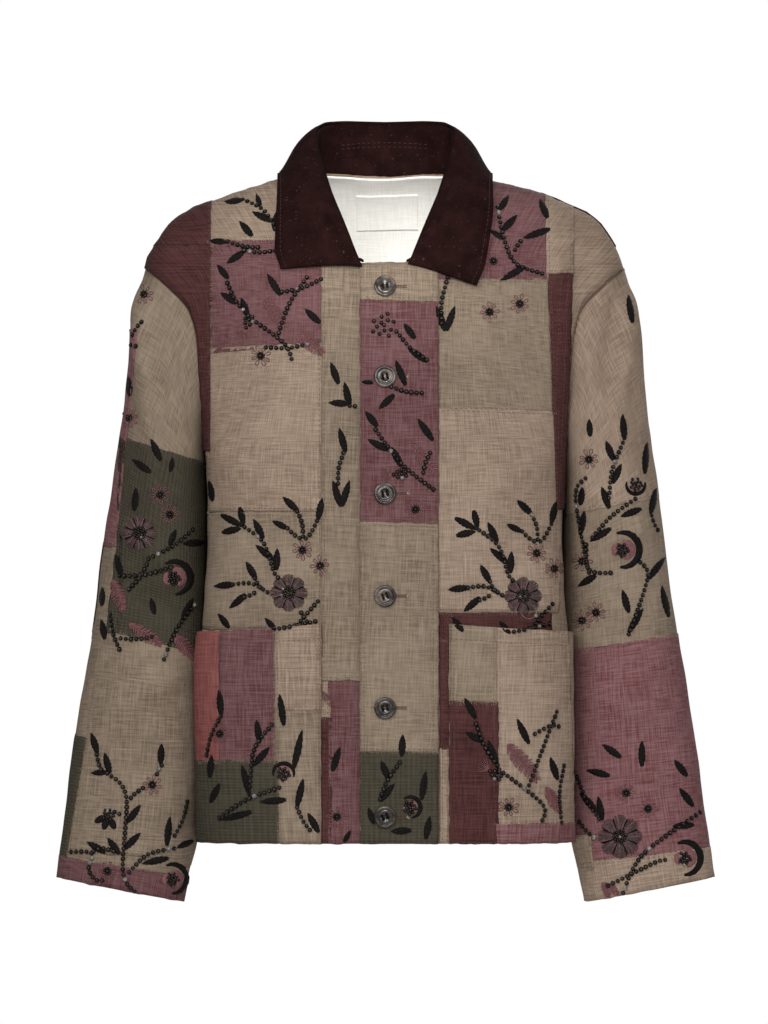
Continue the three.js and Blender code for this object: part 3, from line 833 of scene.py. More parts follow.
def polished(name, deep, pale, rough, coat, grain, specular=0.35):
    """Beads and horn: streaky dark body under a clear polish."""
    made, tree, shader = material(name, rough, 0.0, specular)
    shader.inputs["Coat Weight"].default_value = coat
    at = add(tree, "ShaderNodeTexCoord").outputs["Object"]
    tone = above(tree, noise_at(tree, at, grain, 4, 0.6), 0.40, 0.68)
    link(tree, blend_colour(tree, tone, deep, pale), shader.inputs["Base Color"])
    return made


BEIGE = khadi("beige_cloth", srgb(108, 92, 78), srgb(148, 129, 113), srgb(166, 148, 131),
              srgb(78, 64, 54))
BEIGE_GREY = khadi("beige_grey_cloth", srgb(94, 82, 69), srgb(134, 118, 102),
                   srgb(152, 136, 118), srgb(70, 59, 48), 0.04)
BEIGE_PALE = khadi("beige_pale_cloth", srgb(114, 97, 83), srgb(154, 135, 119),
                   srgb(174, 155, 139), srgb(82, 67, 56), 1.57)
MAUVE = khadi("mauve_cloth", srgb(74, 40, 40), srgb(106, 79, 81), srgb(124, 90, 90),
              srgb(50, 29, 31))
ROSE = khadi("rose_cloth", srgb(90, 50, 51), srgb(124, 92, 94), srgb(134, 98, 98),
             srgb(64, 36, 38), 1.57)
RED_ROSE = khadi("red_rose_cloth", srgb(92, 46, 44), srgb(130, 78, 74), srgb(140, 92, 88),
                 srgb(66, 34, 34), 1.57)
MAROON = khadi("maroon_cloth", srgb(48, 27, 26), srgb(80, 48, 47), srgb(88, 58, 56),
               srgb(38, 20, 20))
OLIVE = ribbed("olive_cloth", srgb(40, 37, 29), srgb(74, 69, 57))
LINING = khadi("lining_cotton", srgb(240, 236, 226), srgb(253, 251, 245), srgb(254, 253, 249),
               srgb(228, 222, 210), 0.0, 0.0003)
MOLESKIN = moleskin("collar_moleskin", srgb(19, 8, 7), srgb(35, 18, 17), srgb(96, 74, 66))
BLACK_THREAD = floss("black_thread", srgb(7, 5, 5), srgb(28, 23, 23), 0.75, 0.0, 900)
MAUVE_THREAD = floss("mauve_thread", srgb(80, 48, 50), srgb(140, 98, 99), 0.7, 0.0)
GREY_THREAD = floss("grey_thread", srgb(48, 38, 38), srgb(100, 84, 83), 0.7, 0.0)
PALE_THREAD = floss("seam_thread", srgb(128, 110, 96), srgb(178, 160, 142), 0.8, 0.0)
DARK_SEAM = floss("dark_seam_thread", srgb(74, 58, 50), srgb(104, 86, 74), 0.8, 0.0)
COLLAR_THREAD = floss("collar_thread", srgb(52, 34, 30), srgb(86, 64, 57), 0.8, 0.0)
JET = polished("jet_beads", srgb(4, 3, 3), srgb(13, 11, 11), 0.3, 0.0, (400, 400, 400), 0.16)
BEAD_EYE = polished("bead_eyes", srgb(24, 19, 16), srgb(72, 58, 48), 0.4, 0.0, (300, 300, 300),
                    0.2)
# Pale grey beads: painted glints, whole beads coloured pale where black beads would catch the
# light.
PAINTED_GLINT_BEADS = polished("painted_glint_beads", srgb(84, 80, 76), srgb(140, 134, 128), 0.25, 0.0,
                  (300, 300, 300))
HORN = polished("horn", srgb(24, 18, 15), srgb(96, 84, 75), 0.28, 0.25, (60, 200, 160))


# ---- pieces as objects ---------------------------------------------------------------
def finish_piece(name, bm, materials, thickness=0.0, smooth=True):
    mesh = bpy.data.meshes.new(name)
    bm.to_mesh(mesh)
    for each in materials:
        mesh.materials.append(each)
    if smooth:
        mesh.shade_smooth()
    piece = bpy.data.objects.new(name, mesh)
    bpy.context.scene.collection.objects.link(piece)
    if thickness:
        wall = piece.modifiers.new("wall", "SOLIDIFY")
        wall.thickness = thickness * MM
        wall.offset = -1
        wall.use_even_offset = False
    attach(piece, "root")
    return piece


def cloth_area(bm):
    return sum(f.calc_area() for f in bm.faces)


def declare_cloth(bm, flat):
    """Works out a piece's area, no more than its cut rectangle, and does nothing with it."""
    area = min(cloth_area(bm), flat[0] * flat[1])


# ---- patches: pieces cut from a panel's own cloth shape and laid on it ---------------
def cut_patch(base, corners, lift, wobble, seed):
    """The part of a panel inside a convex outline seen square on, raised by lift."""
    piece = base.copy()
    centre = sum((Vector((x, 0, z)) for x, z in corners), Vector()) / len(corners)
    for i, (x, z) in enumerate(corners):
        x1, z1 = corners[(i + 1) % len(corners)]
        normal = Vector((z1 - z, 0, x - x1)).normalized()
        if normal.dot(centre - Vector((x, 0, z))) > 0:
            normal.negate()
        everything = piece.verts[:] + piece.edges[:] + piece.faces[:]
        bmesh.ops.bisect_plane(piece, geom=everything, plane_co=Vector((x, 0, z)) * MM,
                               plane_no=normal, clear_outer=True, dist=0.00001)
    bmesh.ops.remove_doubles(piece, verts=piece.verts, dist=0.0003)
    piece.normal_update()
    raised = {v: v.normal * lift * MM for v in piece.verts}
    for v, off in raised.items():
        v.co += off
        if v.is_boundary:
            at = v.co / MM
            v.co.x += wobble * MM * noise.noise(Vector((at.z / 9, seed, at.y / 20)))
            v.co.z += wobble * MM * noise.noise(Vector((at.x / 9, seed + 5, at.y / 20)))
    return piece


def keep_side(bm, front):
    """Drops the half of a tube that looks the other way."""
    away = [f for f in bm.faces if (f.calc_center_median().y > 0) == front]
    bmesh.ops.delete(bm, geom=away, context="FACES")


def join_into(joined, bm):
    """Adds a copy of one bmesh to another."""
    mesh = bpy.data.meshes.new("joined")
    bm.to_mesh(mesh)
    joined.from_mesh(mesh)
    bpy.data.meshes.remove(mesh)


def patch_set(base, patches, seed, side_only=None):
    """All the patches of one panel as one bmesh; returns it with its materials."""
    joined = bmesh.new()
    materials = []
    for i, (fabric, corners, *rest) in enumerate(patches):
        level = rest[0] if rest else 1
        piece = cut_patch(base, corners, PATCH_LIFT * level, 1.3, seed + i)
        if side_only is not None:
            keep_side(piece, side_only)
        if fabric not in materials:
            materials.append(fabric)
        for f in piece.faces:
            f.material_index = materials.index(fabric)
        join_into(joined, piece)
        piece.free()
    joined.normal_update()
    return joined, materials


# ---- threads, stitches and beads laid on the cloth -----------------------------------
class Ground:
    """What needlework is laid on: the outermost cloth seen square on from one side."""

    def __init__(self, pieces, front=True):
        joined = bmesh.new()
        for bm in pieces:
            join_into(joined, bm)
        self.tree = BVHTree.FromBMesh(joined)
        self.look = Vector((0, 1 if front else -1, 0))
        joined.free()

    def at(self, x, z, lift=0.0):
        start = Vector((x, 0, z)) * MM - self.look
        place, normal, _, _ = self.tree.ray_cast(start, self.look)
        if place is None:
            return None
        if normal.dot(self.look) > 0:
            normal = -normal
        return place + normal * lift * MM, normal


class Threads:
    """Strands gathered here become one mesh of fine tubes."""

    def __init__(self):
        self.strands = []

    def lay(self, ground, points, radius, lift=0.3, taper=1.0):
        found = [ground.at(x, z, lift) for x, z in points]
        if None in found:
            return
        places = [f[0] for f in found]
        reach = max((a - b).length for a, b in zip(places, places[1:]))
        if reach < 0.02:
            self.strands.append((places, radius, taper))

    def free(self, places, radius, taper=1.0):
        self.strands.append((places, radius, taper))

    def make(self, name, fabric):
        if not self.strands:
            return
        line = bpy.data.curves.new(name, "CURVE")
        line.dimensions = "3D"
        line.bevel_depth = 1.0
        line.bevel_resolution = 0
        line.use_fill_caps = True
        for places, radius, taper in self.strands:
            spline = line.splines.new("POLY")
            spline.points.add(len(places) - 1)
            for i, (point, place) in enumerate(zip(spline.points, places)):
                share = i / max(len(places) - 1, 1)
                point.co = (*place, 1.0)
                point.radius = radius * MM * mix(1, taper, share)
        holder = bpy.data.objects.new(name + "_line", line)
        mesh = bpy.data.meshes.new_from_object(holder)
        bpy.data.objects.remove(holder)
        bpy.data.curves.remove(line)
        mesh.name = name
        mesh.materials.clear()
        mesh.materials.append(fabric)
        mesh.shade_smooth()
        piece = bpy.data.objects.new(name, mesh)
        bpy.context.scene.collection.objects.link(piece)
        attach(piece, "root")


def along(points, step):
    """Even places along a smooth path through flat points."""
    if len(points) == 2:
        (x0, z0), (x1, z1) = points
        bow = 0.06
        points = [points[0], ((x0 + x1) / 2 + bow * (z1 - z0), (z0 + z1) / 2 - bow * (x1 - x0)),
                  points[1]]
    path = through([(x, z, 0) for x, z in points])
    fine = [path(i / 60) for i in range(61)]
    places = [fine[0]]
    gone = 0.0
    for a, b in zip(fine, fine[1:]):
        length = (b - a).length
        while gone + length >= step:
            t = (step - gone) / length
            a = a.lerp(b, t)
            length = (b - a).length
            gone = 0.0
            places.append(a.copy())
        gone += length
    return [(p.x, p.y) for p in places]


def straight(a, b, step):
    count = max(int(math.dist(a, b) / step), 1)
    return [(mix(a[0], b[0], i / count), mix(a[1], b[1], i / count)) for i in range(count + 1)]


def running_stitch(threads, ground, a, b, dash=STITCH, space=2.2, lift=0.05, radius=0.2):
    places = straight(a, b, dash + space)
    length = max(math.dist(a, b), 0.01)
    dx = (b[0] - a[0]) / length * dash
    dz = (b[1] - a[1]) / length * dash
    for x, z in places[:-1]:
        threads.lay(ground, [(x, z), (x + dx, z + dz)], radius, lift)


def frayed_edge(threads, ground, a, b, outward, chance, length=2.4, step=1.5):
    """Short ends of thread let go along a raw edge."""
    ux, uz = (b[0] - a[0]), (b[1] - a[1])
    size = math.hypot(ux, uz)
    ux, uz = ux / size, uz / size
    for x, z in straight(a, b, step):
        if chance.random() < 0.25:
            continue
        reach = length * chance.uniform(0.3, 1.0)
        lean = chance.uniform(-0.5, 0.5)
        dx = (outward[0] + lean * ux) * reach
        dz = (outward[1] + lean * uz) * reach
        start = (x - outward[0] * 1.2, z - outward[1] * 1.2)
        threads.lay(ground, [start, (x + dx, z + dz)], 0.15, 0.15, 0.5)


def outline_work(ground, patches, seams, frays, chance):
    """A stitch row inside each patch's outline, and let-go threads along its raw edges."""
    for _, corners, *rest in patches:
        raw = rest[1] if len(rest) > 1 else ""
        centre = (sum(c[0] for c in corners) / len(corners),
                  sum(c[1] for c in corners) / len(corners))
        for i, a in enumerate(corners):
            b = corners[(i + 1) % len(corners)]
            length = math.dist(a, b)
            nx, nz = (b[1] - a[1]) / length, (a[0] - b[0]) / length
            if nx * (centre[0] - a[0]) + nz * (centre[1] - a[1]) > 0:
                nx, nz = -nx, -nz
            inner_a = (a[0] - nx * 3, a[1] - nz * 3)
            inner_b = (b[0] - nx * 3, b[1] - nz * 3)
            running_stitch(seams, ground, inner_a, inner_b)
            if str(i) in raw:
                frayed_edge(frays, ground, a, b, (nx, nz), chance)


# ---- embroidery ----------------------------------------------------------------------
class Needlework:
    """Embroidery of one part of the jacket: satin, petals, beads and floss in three colours."""

    def __init__(self, ground, seed):
        self.ground = ground
        self.satin = bmesh.new()
        self.petals = bmesh.new()
        self.beads = bmesh.new()
        self.mauve = Threads()
        self.grey = Threads()
        self.black = Threads()
        self.chance = random.Random(seed)

    def satin_shape(self, bm, columns, rows, place):
        """A little domed grid of satin stitches, facing outwards; place gives x, z and height."""
        made = bmesh.ops.create_grid(bm, x_segments=columns, y_segments=rows, size=0.5)
        lost = []
        for v in made["verts"]:
            x, z, high = place(v.co.x + 0.5, v.co.y + 0.5)
            found = self.ground.at(x, z, high)
            if found is None:
                lost.append(v)
            else:
                v.co = found[0]
        bmesh.ops.delete(bm, geom=lost, context="VERTS")
        faces = list({f for v in made["verts"] if v.is_valid for f in v.link_faces})
        for f in faces:
            f.normal_update()
        if sum(f.normal.dot(self.ground.look) for f in faces) > 0:
            bmesh.ops.reverse_faces(bm, faces=faces)

    def leaf(self, x0, z0, x1, z1, wide=0.38):
        x1, z1 = x1 + 0.06 * (x1 - x0), z1 + 0.06 * (z1 - z0)
        length = math.hypot(x1 - x0, z1 - z0)
        ux, uz = (x1 - x0) / length, (z1 - z0) / length
        width = min(wide * length, 7.2)
        jag = [(1.07 if i % 2 else 0.90) * self.chance.uniform(0.95, 1.04)
               for i in range(2 * LEAF_JAGS)]

        def place(u, v):
            i = round(u * LEAF_STEPS)
            side = 2 * v - 1
            half = width * 0.5 * math.sin(math.pi * clamp(0.07 + 0.85 * u)) ** 0.65
            edge = jag[i + (LEAF_JAGS if side > 0 else 0)] if abs(side) > 0.9 else 1
            off = side * half * edge
            lead = length * (u + 0.10 * abs(side) * (1 - u))
            return (x0 + ux * lead - uz * off, z0 + uz * lead + ux * off,
                    0.15 + 0.95 * (1 - side * side) ** 0.5)
        self.satin_shape(self.satin, LEAF_STEPS, 4, place)

    def bead(self, x, z, size=2.2, painted_glint=False):
        found = self.ground.at(x, z, size * 0.45)
        if found is None:
            return
        place, normal = found
        turn = normal.to_track_quat("Z", "Y").to_matrix().to_4x4()
        shape = Matrix.Translation(place) @ turn @ Matrix.Diagonal((1, 1, 0.8, 1))
        made = bmesh.ops.create_uvsphere(self.beads, u_segments=7, v_segments=7,
                                         radius=size * MM, matrix=shape)
        eye = max(made["verts"], key=lambda v: (v.co - place).dot(normal))
        for f in eye.link_faces:
            f.material_index = 2
        # A few beads are coloured pale grey all over: painted glints on the black beads.
        if painted_glint:
            for f in {f for v in made["verts"] for f in v.link_faces}:
                f.material_index = 1

    def chain(self, *points):
        for x, z in along(list(points), 5.0):
            self.bead(x, z, self.chance.uniform(2.15, 2.6), self.chance.random() < 0.04)

    def cluster(self, x, z, size=1.0, count=9, bead=2.1):
        for i in range(count):
            angle = 2.4 * i
            reach = 2.7 * size * math.sqrt(i)
            self.bead(x + reach * math.cos(angle), z + reach * math.sin(angle), bead,
                      self.chance.random() < 0.03)

    def star(self, x, z, size=9.4):
        """Loops of mauve thread round a ring of beads."""
        turn = self.chance.uniform(0, 1)
        for i in range(8):
            angle = turn + math.pi * i / 4 + self.chance.uniform(-0.08, 0.08)
            tip = size * self.chance.uniform(0.9, 1.1)
            for spread in (-0.2, 0.2):
                loop = [(2.5, 0), (0.7 * tip, spread), (0.9 * tip, 0.8 * spread), (tip, 0)]
                self.mauve.lay(self.ground, [(x + r * math.cos(angle + a),
                                              z + r * math.sin(angle + a))
                                             for r, a in loop], 0.42, 0.5)
        for i in range(8):
            angle = turn + math.pi * i / 4
            self.bead(x + 2.9 * math.cos(angle), z + 2.9 * math.sin(angle), 1.35)
        self.bead(x, z, 2.1)

    def rosette(self, x, z, size=17):
        for i in range(ROSETTE_THREADS):
            angle = 2 * math.pi * i / ROSETTE_THREADS + self.chance.uniform(-0.02, 0.02)
            lobe = abs(math.cos(4 * angle)) ** 0.5
            reach = size * (0.84 + 0.22 * lobe) * self.chance.uniform(0.98, 1.02)
            inner = size * 0.34
            mid = 0.5 * (inner + reach)
            c, s = math.cos(angle), math.sin(angle)
            threads = self.black if lobe < 0.45 else self.mauve if i % 7 == 0 else self.grey
            threads.lay(self.ground, [(x + inner * c, z + inner * s), (x + mid * c, z + mid * s),
                                      (x + reach * c, z + reach * s)], 0.5, 0.6, 0.8)
        self.cluster(x, z, 0.52, 26, 1.5)

    def fringe(self, x0, z0, x1, z1, reach=6.5, count=26):
        """A leaf of loose mauve threads either side of its rib."""
        length = math.hypot(x1 - x0, z1 - z0)
        ux, uz = (x1 - x0) / length, (z1 - z0) / length
        for i in range(count):
            share = i / (count - 1)
            wide = reach * math.sin(math.pi * (0.12 + 0.8 * share)) ** 0.7
            x, z = mix(x0, x1, share), mix(z0, z1, share)
            for side in (-1, 1):
                out = wide * self.chance.uniform(0.75, 1.1) * side
                lead = 3.0 * self.chance.uniform(0.7, 1.3)
                self.mauve.lay(self.ground, [(x, z), (x - uz * out + ux * lead,
                                                      z + ux * out + uz * lead)], 0.6, 0.6, 0.8)

    def petal_arc(self, bm, x, z, inner, outer, start, sweep, high):
        jag = [self.chance.uniform(0.86, 1.10) for _ in range(16)]

        def place(u, v):
            angle = start + sweep * (u - 0.5)
            i = round(u * LEAF_STEPS)
            ends = math.sin(math.pi * clamp(0.03 + 0.94 * u)) ** 0.5
            thick = (outer - inner) * ends
            middle = (inner + outer) / 2
            reach = middle + thick * (v - 0.5) * (jag[i] if v > 0.9 else 1)
            return (x + reach * math.cos(angle), z + reach * math.sin(angle),
                    0.15 + high * (1 - (2 * v - 1) ** 2) ** 0.5)
        self.satin_shape(bm, LEAF_STEPS, 3, place)

    def poppy(self, x, z, size=19, facing=0.0):
        """A black crescent round soft mauve petals, with a beaded middle."""
        self.petal_arc(self.satin, x, z, size * 0.66, size * 1.02, facing, 3.6, 1.2)
        self.petal_arc(self.petals, x, z, size * 0.16, size * 0.64, facing, 2.9, 0.9)
        self.petal_arc(self.petals, x, z, size * 0.2, size * 0.55, facing + 2.9, 1.7, 0.9)
        self.cluster(x, z, 0.6, 16, 1.7)

    def bloom(self, x, z, size=14, facing=-1.9):
        """Three black petals under a dense beaded head."""
        for turn in (-0.75, 0, 0.75):
            c, s = math.cos(facing + turn), math.sin(facing + turn)
            self.leaf(x + 2 * c, z + 2 * s, x + size * c, z + size * s, 0.55)
        self.cluster(x, z, 0.55, 16, 1.5)

    def bud(self, x, z, facing=0.0):
        """A drop of beads with a tuft of mauve threads at its open end."""
        c, s = math.cos(facing), math.sin(facing)
        for i, (a, b) in enumerate(((0, 0), (4, 2.4), (4, -2.4), (8, 4), (8, 0), (8, -4),
                                    (12, 2), (12, -2))):
            self.bead(x + a * c - b * s, z + a * s + b * c, 2.1, i == 5)
        for i in range(9):
            spread = facing + math.pi + (i - 4) * 0.17
            reach = 12 * self.chance.uniform(0.8, 1.1)
            self.mauve.lay(self.ground, [(x, z), (x + reach * math.cos(spread),
                                                  z + reach * math.sin(spread))], 0.45, 0.5, 0.6)

    def arrow(self, x, z, high=24, spread=8):
        self.leaf(x - spread, z + high, x - 1, z)
        self.leaf(x + spread, z + high, x + 1, z)

    def make(self, name):
        for bm, part, fabrics in ((self.satin, "satin", [BLACK_THREAD]),
                                  (self.petals, "petals", [MAUVE_THREAD]),
                                  (self.beads, "beads", [JET, PAINTED_GLINT_BEADS, BEAD_EYE])):
            if bm.faces:
                bm.normal_update()
                finish_piece(f"{name}_{part}", bm, fabrics)
            bm.free()
        self.mauve.make(f"{name}_mauve_floss", MAUVE_THREAD)
        self.grey.make(f"{name}_grey_floss", GREY_THREAD)
        self.black.make(f"{name}_black_floss", BLACK_THREAD)


def leaves(work, places, dx=0.0, dz=0.0):
    for x0, z0, x1, z1 in places:
        work.leaf(x0 + dx, z0 + dz, x1 + dx, z1 + dz)


def chains(work, paths, dx=0.0, dz=0.0):
    for path in paths:
        work.chain(*[(x + dx, z + dz) for x, z in path])


def chest_spray(work, dx, dz):
    """The spray low on each chest: a bead cluster, a rosette, leaves and stars."""
    chains(work, [[(-134, -337), (-116, -352), (-106, -380), (-101, -386)],
                  [(-145, -392), (-128, -391), (-111, -400)],
                  [(-124, -386), (-118, -396)], [(-134, -404), (-122, -398)],
                  [(-101, -434), (-80, -430), (-62, -426)], [(-64, -408), (-74, -419), (-84, -431)],
                  [(-80, -419), (-72, -430)], [(-84, -322), (-79, -334), (-78, -350)],
                  [(-93, -338), (-79, -349)], [(-65, -331), (-71, -343), (-78, -350)]], dx, dz)
    leaves(work, [(-135, -337, -156, -326), (-135, -336, -139, -319), (-137, -338, -155, -342)],
           dx, dz)
    leaves(work, [(-126, -329, -117, -347), (-124, -354, -107, -368), (-103, -357, -104, -377),
                  (-164, -394, -145, -392), (-133, -370, -124, -386), (-149, -415, -134, -402),
                  (-98, -308, -84, -321), (-108, -331, -94, -338), (-60, -309, -64, -329),
                  (-160, -420, -150, -433), (-115, -424, -105, -435)], dx, dz)
    work.rosette(-92 + dx, -400 + dz, 17)
    work.star(-79 + dx, -359 + dz)
    work.star(-62 + dx, -374 + dz)


def embroider_right_chest(work):
    leaves(work, [(-155, -24, -138, -22), (-124, -16, -120, -29), (-128, -34, -109, -43),
                  (-105, -35, -106, -52), (-140, -43, -128, -57), (-169, -62, -153, -63),
                  (-152, -84, -136, -73), (-161, -85, -151, -98), (-158, -112, -143, -122),
                  (-138, -117, -132, -134), (-113, -94, -101, -114), (-77, -128, -63, -141),
                  (-169, -292, -166, -311)])
    chains(work, [[(-137, -22), (-119, -31), (-109, -43), (-104, -55)],
                  [(-151, -63), (-121, -69)], [(-135, -72), (-105, -72)],
                  [(-151, -103), (-133, -132)], [(-131, -135), (-97, -161), (-89, -178)],
                  [(-99, -112), (-60, -99)], [(-75, -98), (-102, -152)],
                  [(-114, -165), (-71, -161)]])
    work.bud(-133, -146, 1.2)
    work.fringe(-116, -117, -97, -144)
    work.fringe(-85, -152, -61, -170)
    work.star(-119, -173)
    chest_spray(work, 0, 0)


def embroider_centre_strip(work):
    leaves(work, [(-52, -179, -45, -199), (-39, -198, -34, -220), (-54, -218, -36, -219),
                  (-44, -242, -38, -264), (-43, -547, -50, -569), (-33, -627, -39, -638)])
    chains(work, [[(-34, -221), (-26, -221)], [(-40, -266), (-45, -296)]])
    work.arrow(-42, -316, 24, 8)
    work.star(-46, -614)
    work.fringe(-60, -494, -52, -506, 4, 8)


def embroider_band(work):
    work.cluster(-1, -144, 1.3, 13)
    chains(work, [[(11, -150), (41, -178)], [(6, -203), (38, -209)], [(-9, -244), (49, -303)],
                  [(43, -266), (36, -289)], [(14, -562), (-6, -601)]])
    leaves(work, [(18, -142, 28, -156), (21, -165, 39, -178), (10, -177, 19, -200),
                  (-23, -198, -12, -199), (-6, -224, 8, -211), (-19, -226, -8, -240),
                  (31, -233, 45, -253), (-17, -253, 2, -263), (6, -260, 15, -278),
                  (17, -535, 16, -555), (-4, -560, 3, -577), (9, -582, -4, -598),
                  (39, -570, 35, -596), (43, -613, 39, -634), (-16, -605, -11, -620),
                  (5, -628, 24, -627)])
    work.bud(8, -287, 0.1)
    work.fringe(26, -258, 47, -284)
    work.star(29, -320)
    work.poppy(24, -605, 12, 0.4)


def embroider_left_chest(work):
    leaves(work, [(149, -21, 156, -39), (132, -60, 157, -51), (119, -18, 110, -32),
                  (127, -37, 113, -52), (101, -52, 113, -60), (110, -101, 133, -88)])
    chains(work, [[(108, -30), (114, -60), (125, -84), (151, -94)], [(130, -63), (123, -76)],
                  [(60, -98), (54, -144)]])
    for x, z in ((104, -82), (100, -131), (129, -123)):
        work.star(x, z)
    work.arrow(58, -148, 23, 9)
    chest_spray(work, 224, -3)


def embroider_right_pocket(work):
    leaves(work, [(-159, -493, -157, -516), (-123, -521, -120, -542), (-101, -496, -97, -525),
                  (-110, -547, -125, -564), (-79, -530, -87, -566), (-137, -564, -130, -592),
                  (-120, -600, -96, -598), (-158, -618, -129, -610), (-78, -577, -84, -603),
                  (-74, -610, -64, -628), (-166, -555, -168, -576), (-158, -582, -167, -600)])
    chains(work, [[(-157, -518), (-171, -560)], [(-108, -526), (-125, -550), (-129, -587)],
                  [(-101, -586), (-160, -617)], [(-84, -605), (-69, -630)]])
    work.star(-158, -535)
    work.poppy(-97, -573, 12, 1.5)


def embroider_left_pocket(work):
    leaves(work, [(76, -500, 86, -519), (77, -533, 92, -542), (98, -540, 107, -564),
                  (126, -520, 137, -543), (158, -557, 165, -578)])
    chains(work, [[(87, -525), (108, -566)], [(109, -569), (150, -602), (150, -619)],
                  [(143, -535), (159, -527), (170, -530)], [(164, -514), (156, -535), (136, -588)],
                  [(171, -566), (169, -622)]])
    work.bud(100, -570, -0.6)
    work.fringe(117, -545, 145, -578, 8, 32)
    work.fringe(154, -586, 166, -608, 6)
    work.star(118, -605)


def embroider_right_sleeve(work):
    leaves(work, [(-247, -192, -246, -210), (-225, -252, -216, -272), (-243, -272, -226, -284),
                  (-204, -270, -206, -283), (-239, -299, -241, -320), (-201, -339, -207, -354),
                  (-195, -353, -176, -352), (-259, -363, -254, -384), (-225, -405, -222, -420),
                  (-185, -405, -195, -426), (-272, -395, -273, -412), (-273, -426, -270, -444),
                  (-283, -535, -277, -554), (-270, -554, -265, -573), (-283, -574, -268, -573),
                  (-215, -545, -216, -564), (-235, -604, -247, -620), (-235, -631, -250, -646),
                  (-267, -636, -256, -651), (-287, -640, -270, -650), (-234, -661, -210, -656),
                  (-201, -646, -186, -640), (-207, -615, -210, -642)])
    chains(work, [[(-234, -140), (-243, -153)], [(-244, -162), (-235, -163)],
                  [(-227, -367), (-184, -338)], [(-255, -384), (-205, -375)],
                  [(-246, -397), (-228, -371)], [(-254, -444), (-222, -442)],
                  [(-264, -421), (-253, -459)], [(-184, -412), (-213, -465)],
                  [(-267, -574), (-249, -596), (-252, -668), (-239, -690)],
                  [(-246, -669), (-228, -652), (-201, -646)], [(-203, -634), (-191, -601)],
                  [(-215, -566), (-220, -576)], [(-233, -588), (-247, -601)],
                  [(-277, -556), (-272, -572)], [(-260, -611), (-251, -614)],
                  [(-302, -650), (-282, -651), (-285, -666), (-279, -676), (-272, -677)],
                  [(-280, -649), (-272, -646), (-258, -650)]])
    for x, z in ((-232, -113), (-216, -306), (-207, -325), (-224, -585), (-267, -668),
                 (-246, -232)):
        work.star(x, z)
    work.rosette(-236, -343, 16)
    work.poppy(-203, -386, 19, 0.3)
    work.bloom(-266, -614)
    work.poppy(-205, -676, 17, 0.2)
    work.fringe(-262, -388, -252, -415)
    work.fringe(-246, -430, -217, -449)
    work.fringe(-203, -440, -186, -461)


def embroider_left_sleeve(work):
    leaves(work, [(234, -113, 238, -139), (196, -233, 197, -249), (228, -228, 230, -252),
                  (212, -254, 219, -272), (227, -276, 219, -294), (252, -255, 250, -284),
                  (190, -298, 188, -315), (192, -321, 188, -343), (197, -351, 216, -339),
                  (186, -394, 202, -384), (226, -327, 245, -320), (208, -298, 215, -318),
                  (261, -299, 256, -323), (270, -366, 254, -386), (228, -397, 234, -418),
                  (248, -415, 235, -437), (266, -393, 273, -422), (209, -546, 226, -558),
                  (247, -542, 247, -566), (194, -571, 215, -576), (278, -561, 290, -576),
                  (283, -588, 296, -605), (188, -593, 203, -610), (205, -596, 209, -618),
                  (276, -625, 296, -624)])
    chains(work, [[(193, -290), (184, -309), (197, -384)], [(228, -256), (215, -309)],
                  [(240, -310), (197, -351)], [(194, -354), (197, -378), (221, -381)],
                  [(245, -371), (252, -386), (234, -441)], [(256, -326), (262, -340)],
                  [(186, -578), (209, -621)], [(188, -621), (203, -637)],
                  [(303, -612), (248, -652), (228, -692)], [(215, -682), (259, -660), (270, -657)]])
    for x, z in ((196, -272), (203, -419), (190, -370), (190, -427), (232, -593), (253, -608)):
        work.star(x, z)
    work.rosette(226, -635, 20)
    work.poppy(228, -359, 20, 0.1)
    work.poppy(288, -656, 19, 0.2)
    work.poppy(241, -296, 11, -1.6)
    work.fringe(209, -680, 222, -692)


def embroider_back(work):
    """The front's motifs again, spaced out over the back."""
    for dx, dz in ((20, 40), (190, 30), (105, -170)):
        chest_spray(work, dx, dz)
    leaves(work, [(-120, -60, -102, -70), (-84, -52, -80, -72), (40, -70, 58, -62),
                  (96, -58, 100, -78), (-20, -96, -2, -104), (16, -120, 34, -112),
                  (-150, -500, -132, -510), (-110, -560, -96, -574), (130, -520, 140, -540),
                  (96, -590, 112, -600), (-60, -580, -44, -592), (-140, -600, -122, -606)])
    chains(work, [[(-100, -72), (-70, -92), (-22, -96)], [(58, -64), (80, -84), (96, -82)],
                  [(-132, -512), (-104, -548), (-96, -576)],
                  [(140, -542), (118, -570), (98, -588)]])
    work.poppy(-60, -130, 19, 0.5)
    work.poppy(120, -480, 18, 2.8)
    work.poppy(-120, -470, 18, 0.3)
    work.rosette(70, -130, 17)
    work.bud(-10, -560, 0.8)
    work.fringe(-40, -500, -20, -522)
    work.star(0, -150)
    work.star(150, -440)


def embroider_sleeve_back(work, side):
    for x, z in ((222, -200), (246, -330), (222, -470), (262, -600)):
        work.star(side * x, z)
    for x0, z0, x1, z1 in ((228, -232, 240, -246), (212, -250, 204, -268), (236, -300, 226, -316),
                           (262, -372, 256, -392), (214, -402, 230, -410), (246, -440, 252, -460),
                           (216, -520, 230, -530), (276, -560, 268, -578), (236, -640, 254, -634)):
        work.leaf(side * x0, z0, side * x1, z1)
    work.poppy(side * 228, -360, 18, 1.2)
    work.rosette(side * 246, -540, 17)
    work.chain((side * 232, -380), (side * 240, -420), (side * 226, -462))
    work.chain((side * 226, -560), (side * 214, -600), (side * 240, -634))
    work.fringe(side * 236, -410, side * 256, -432)


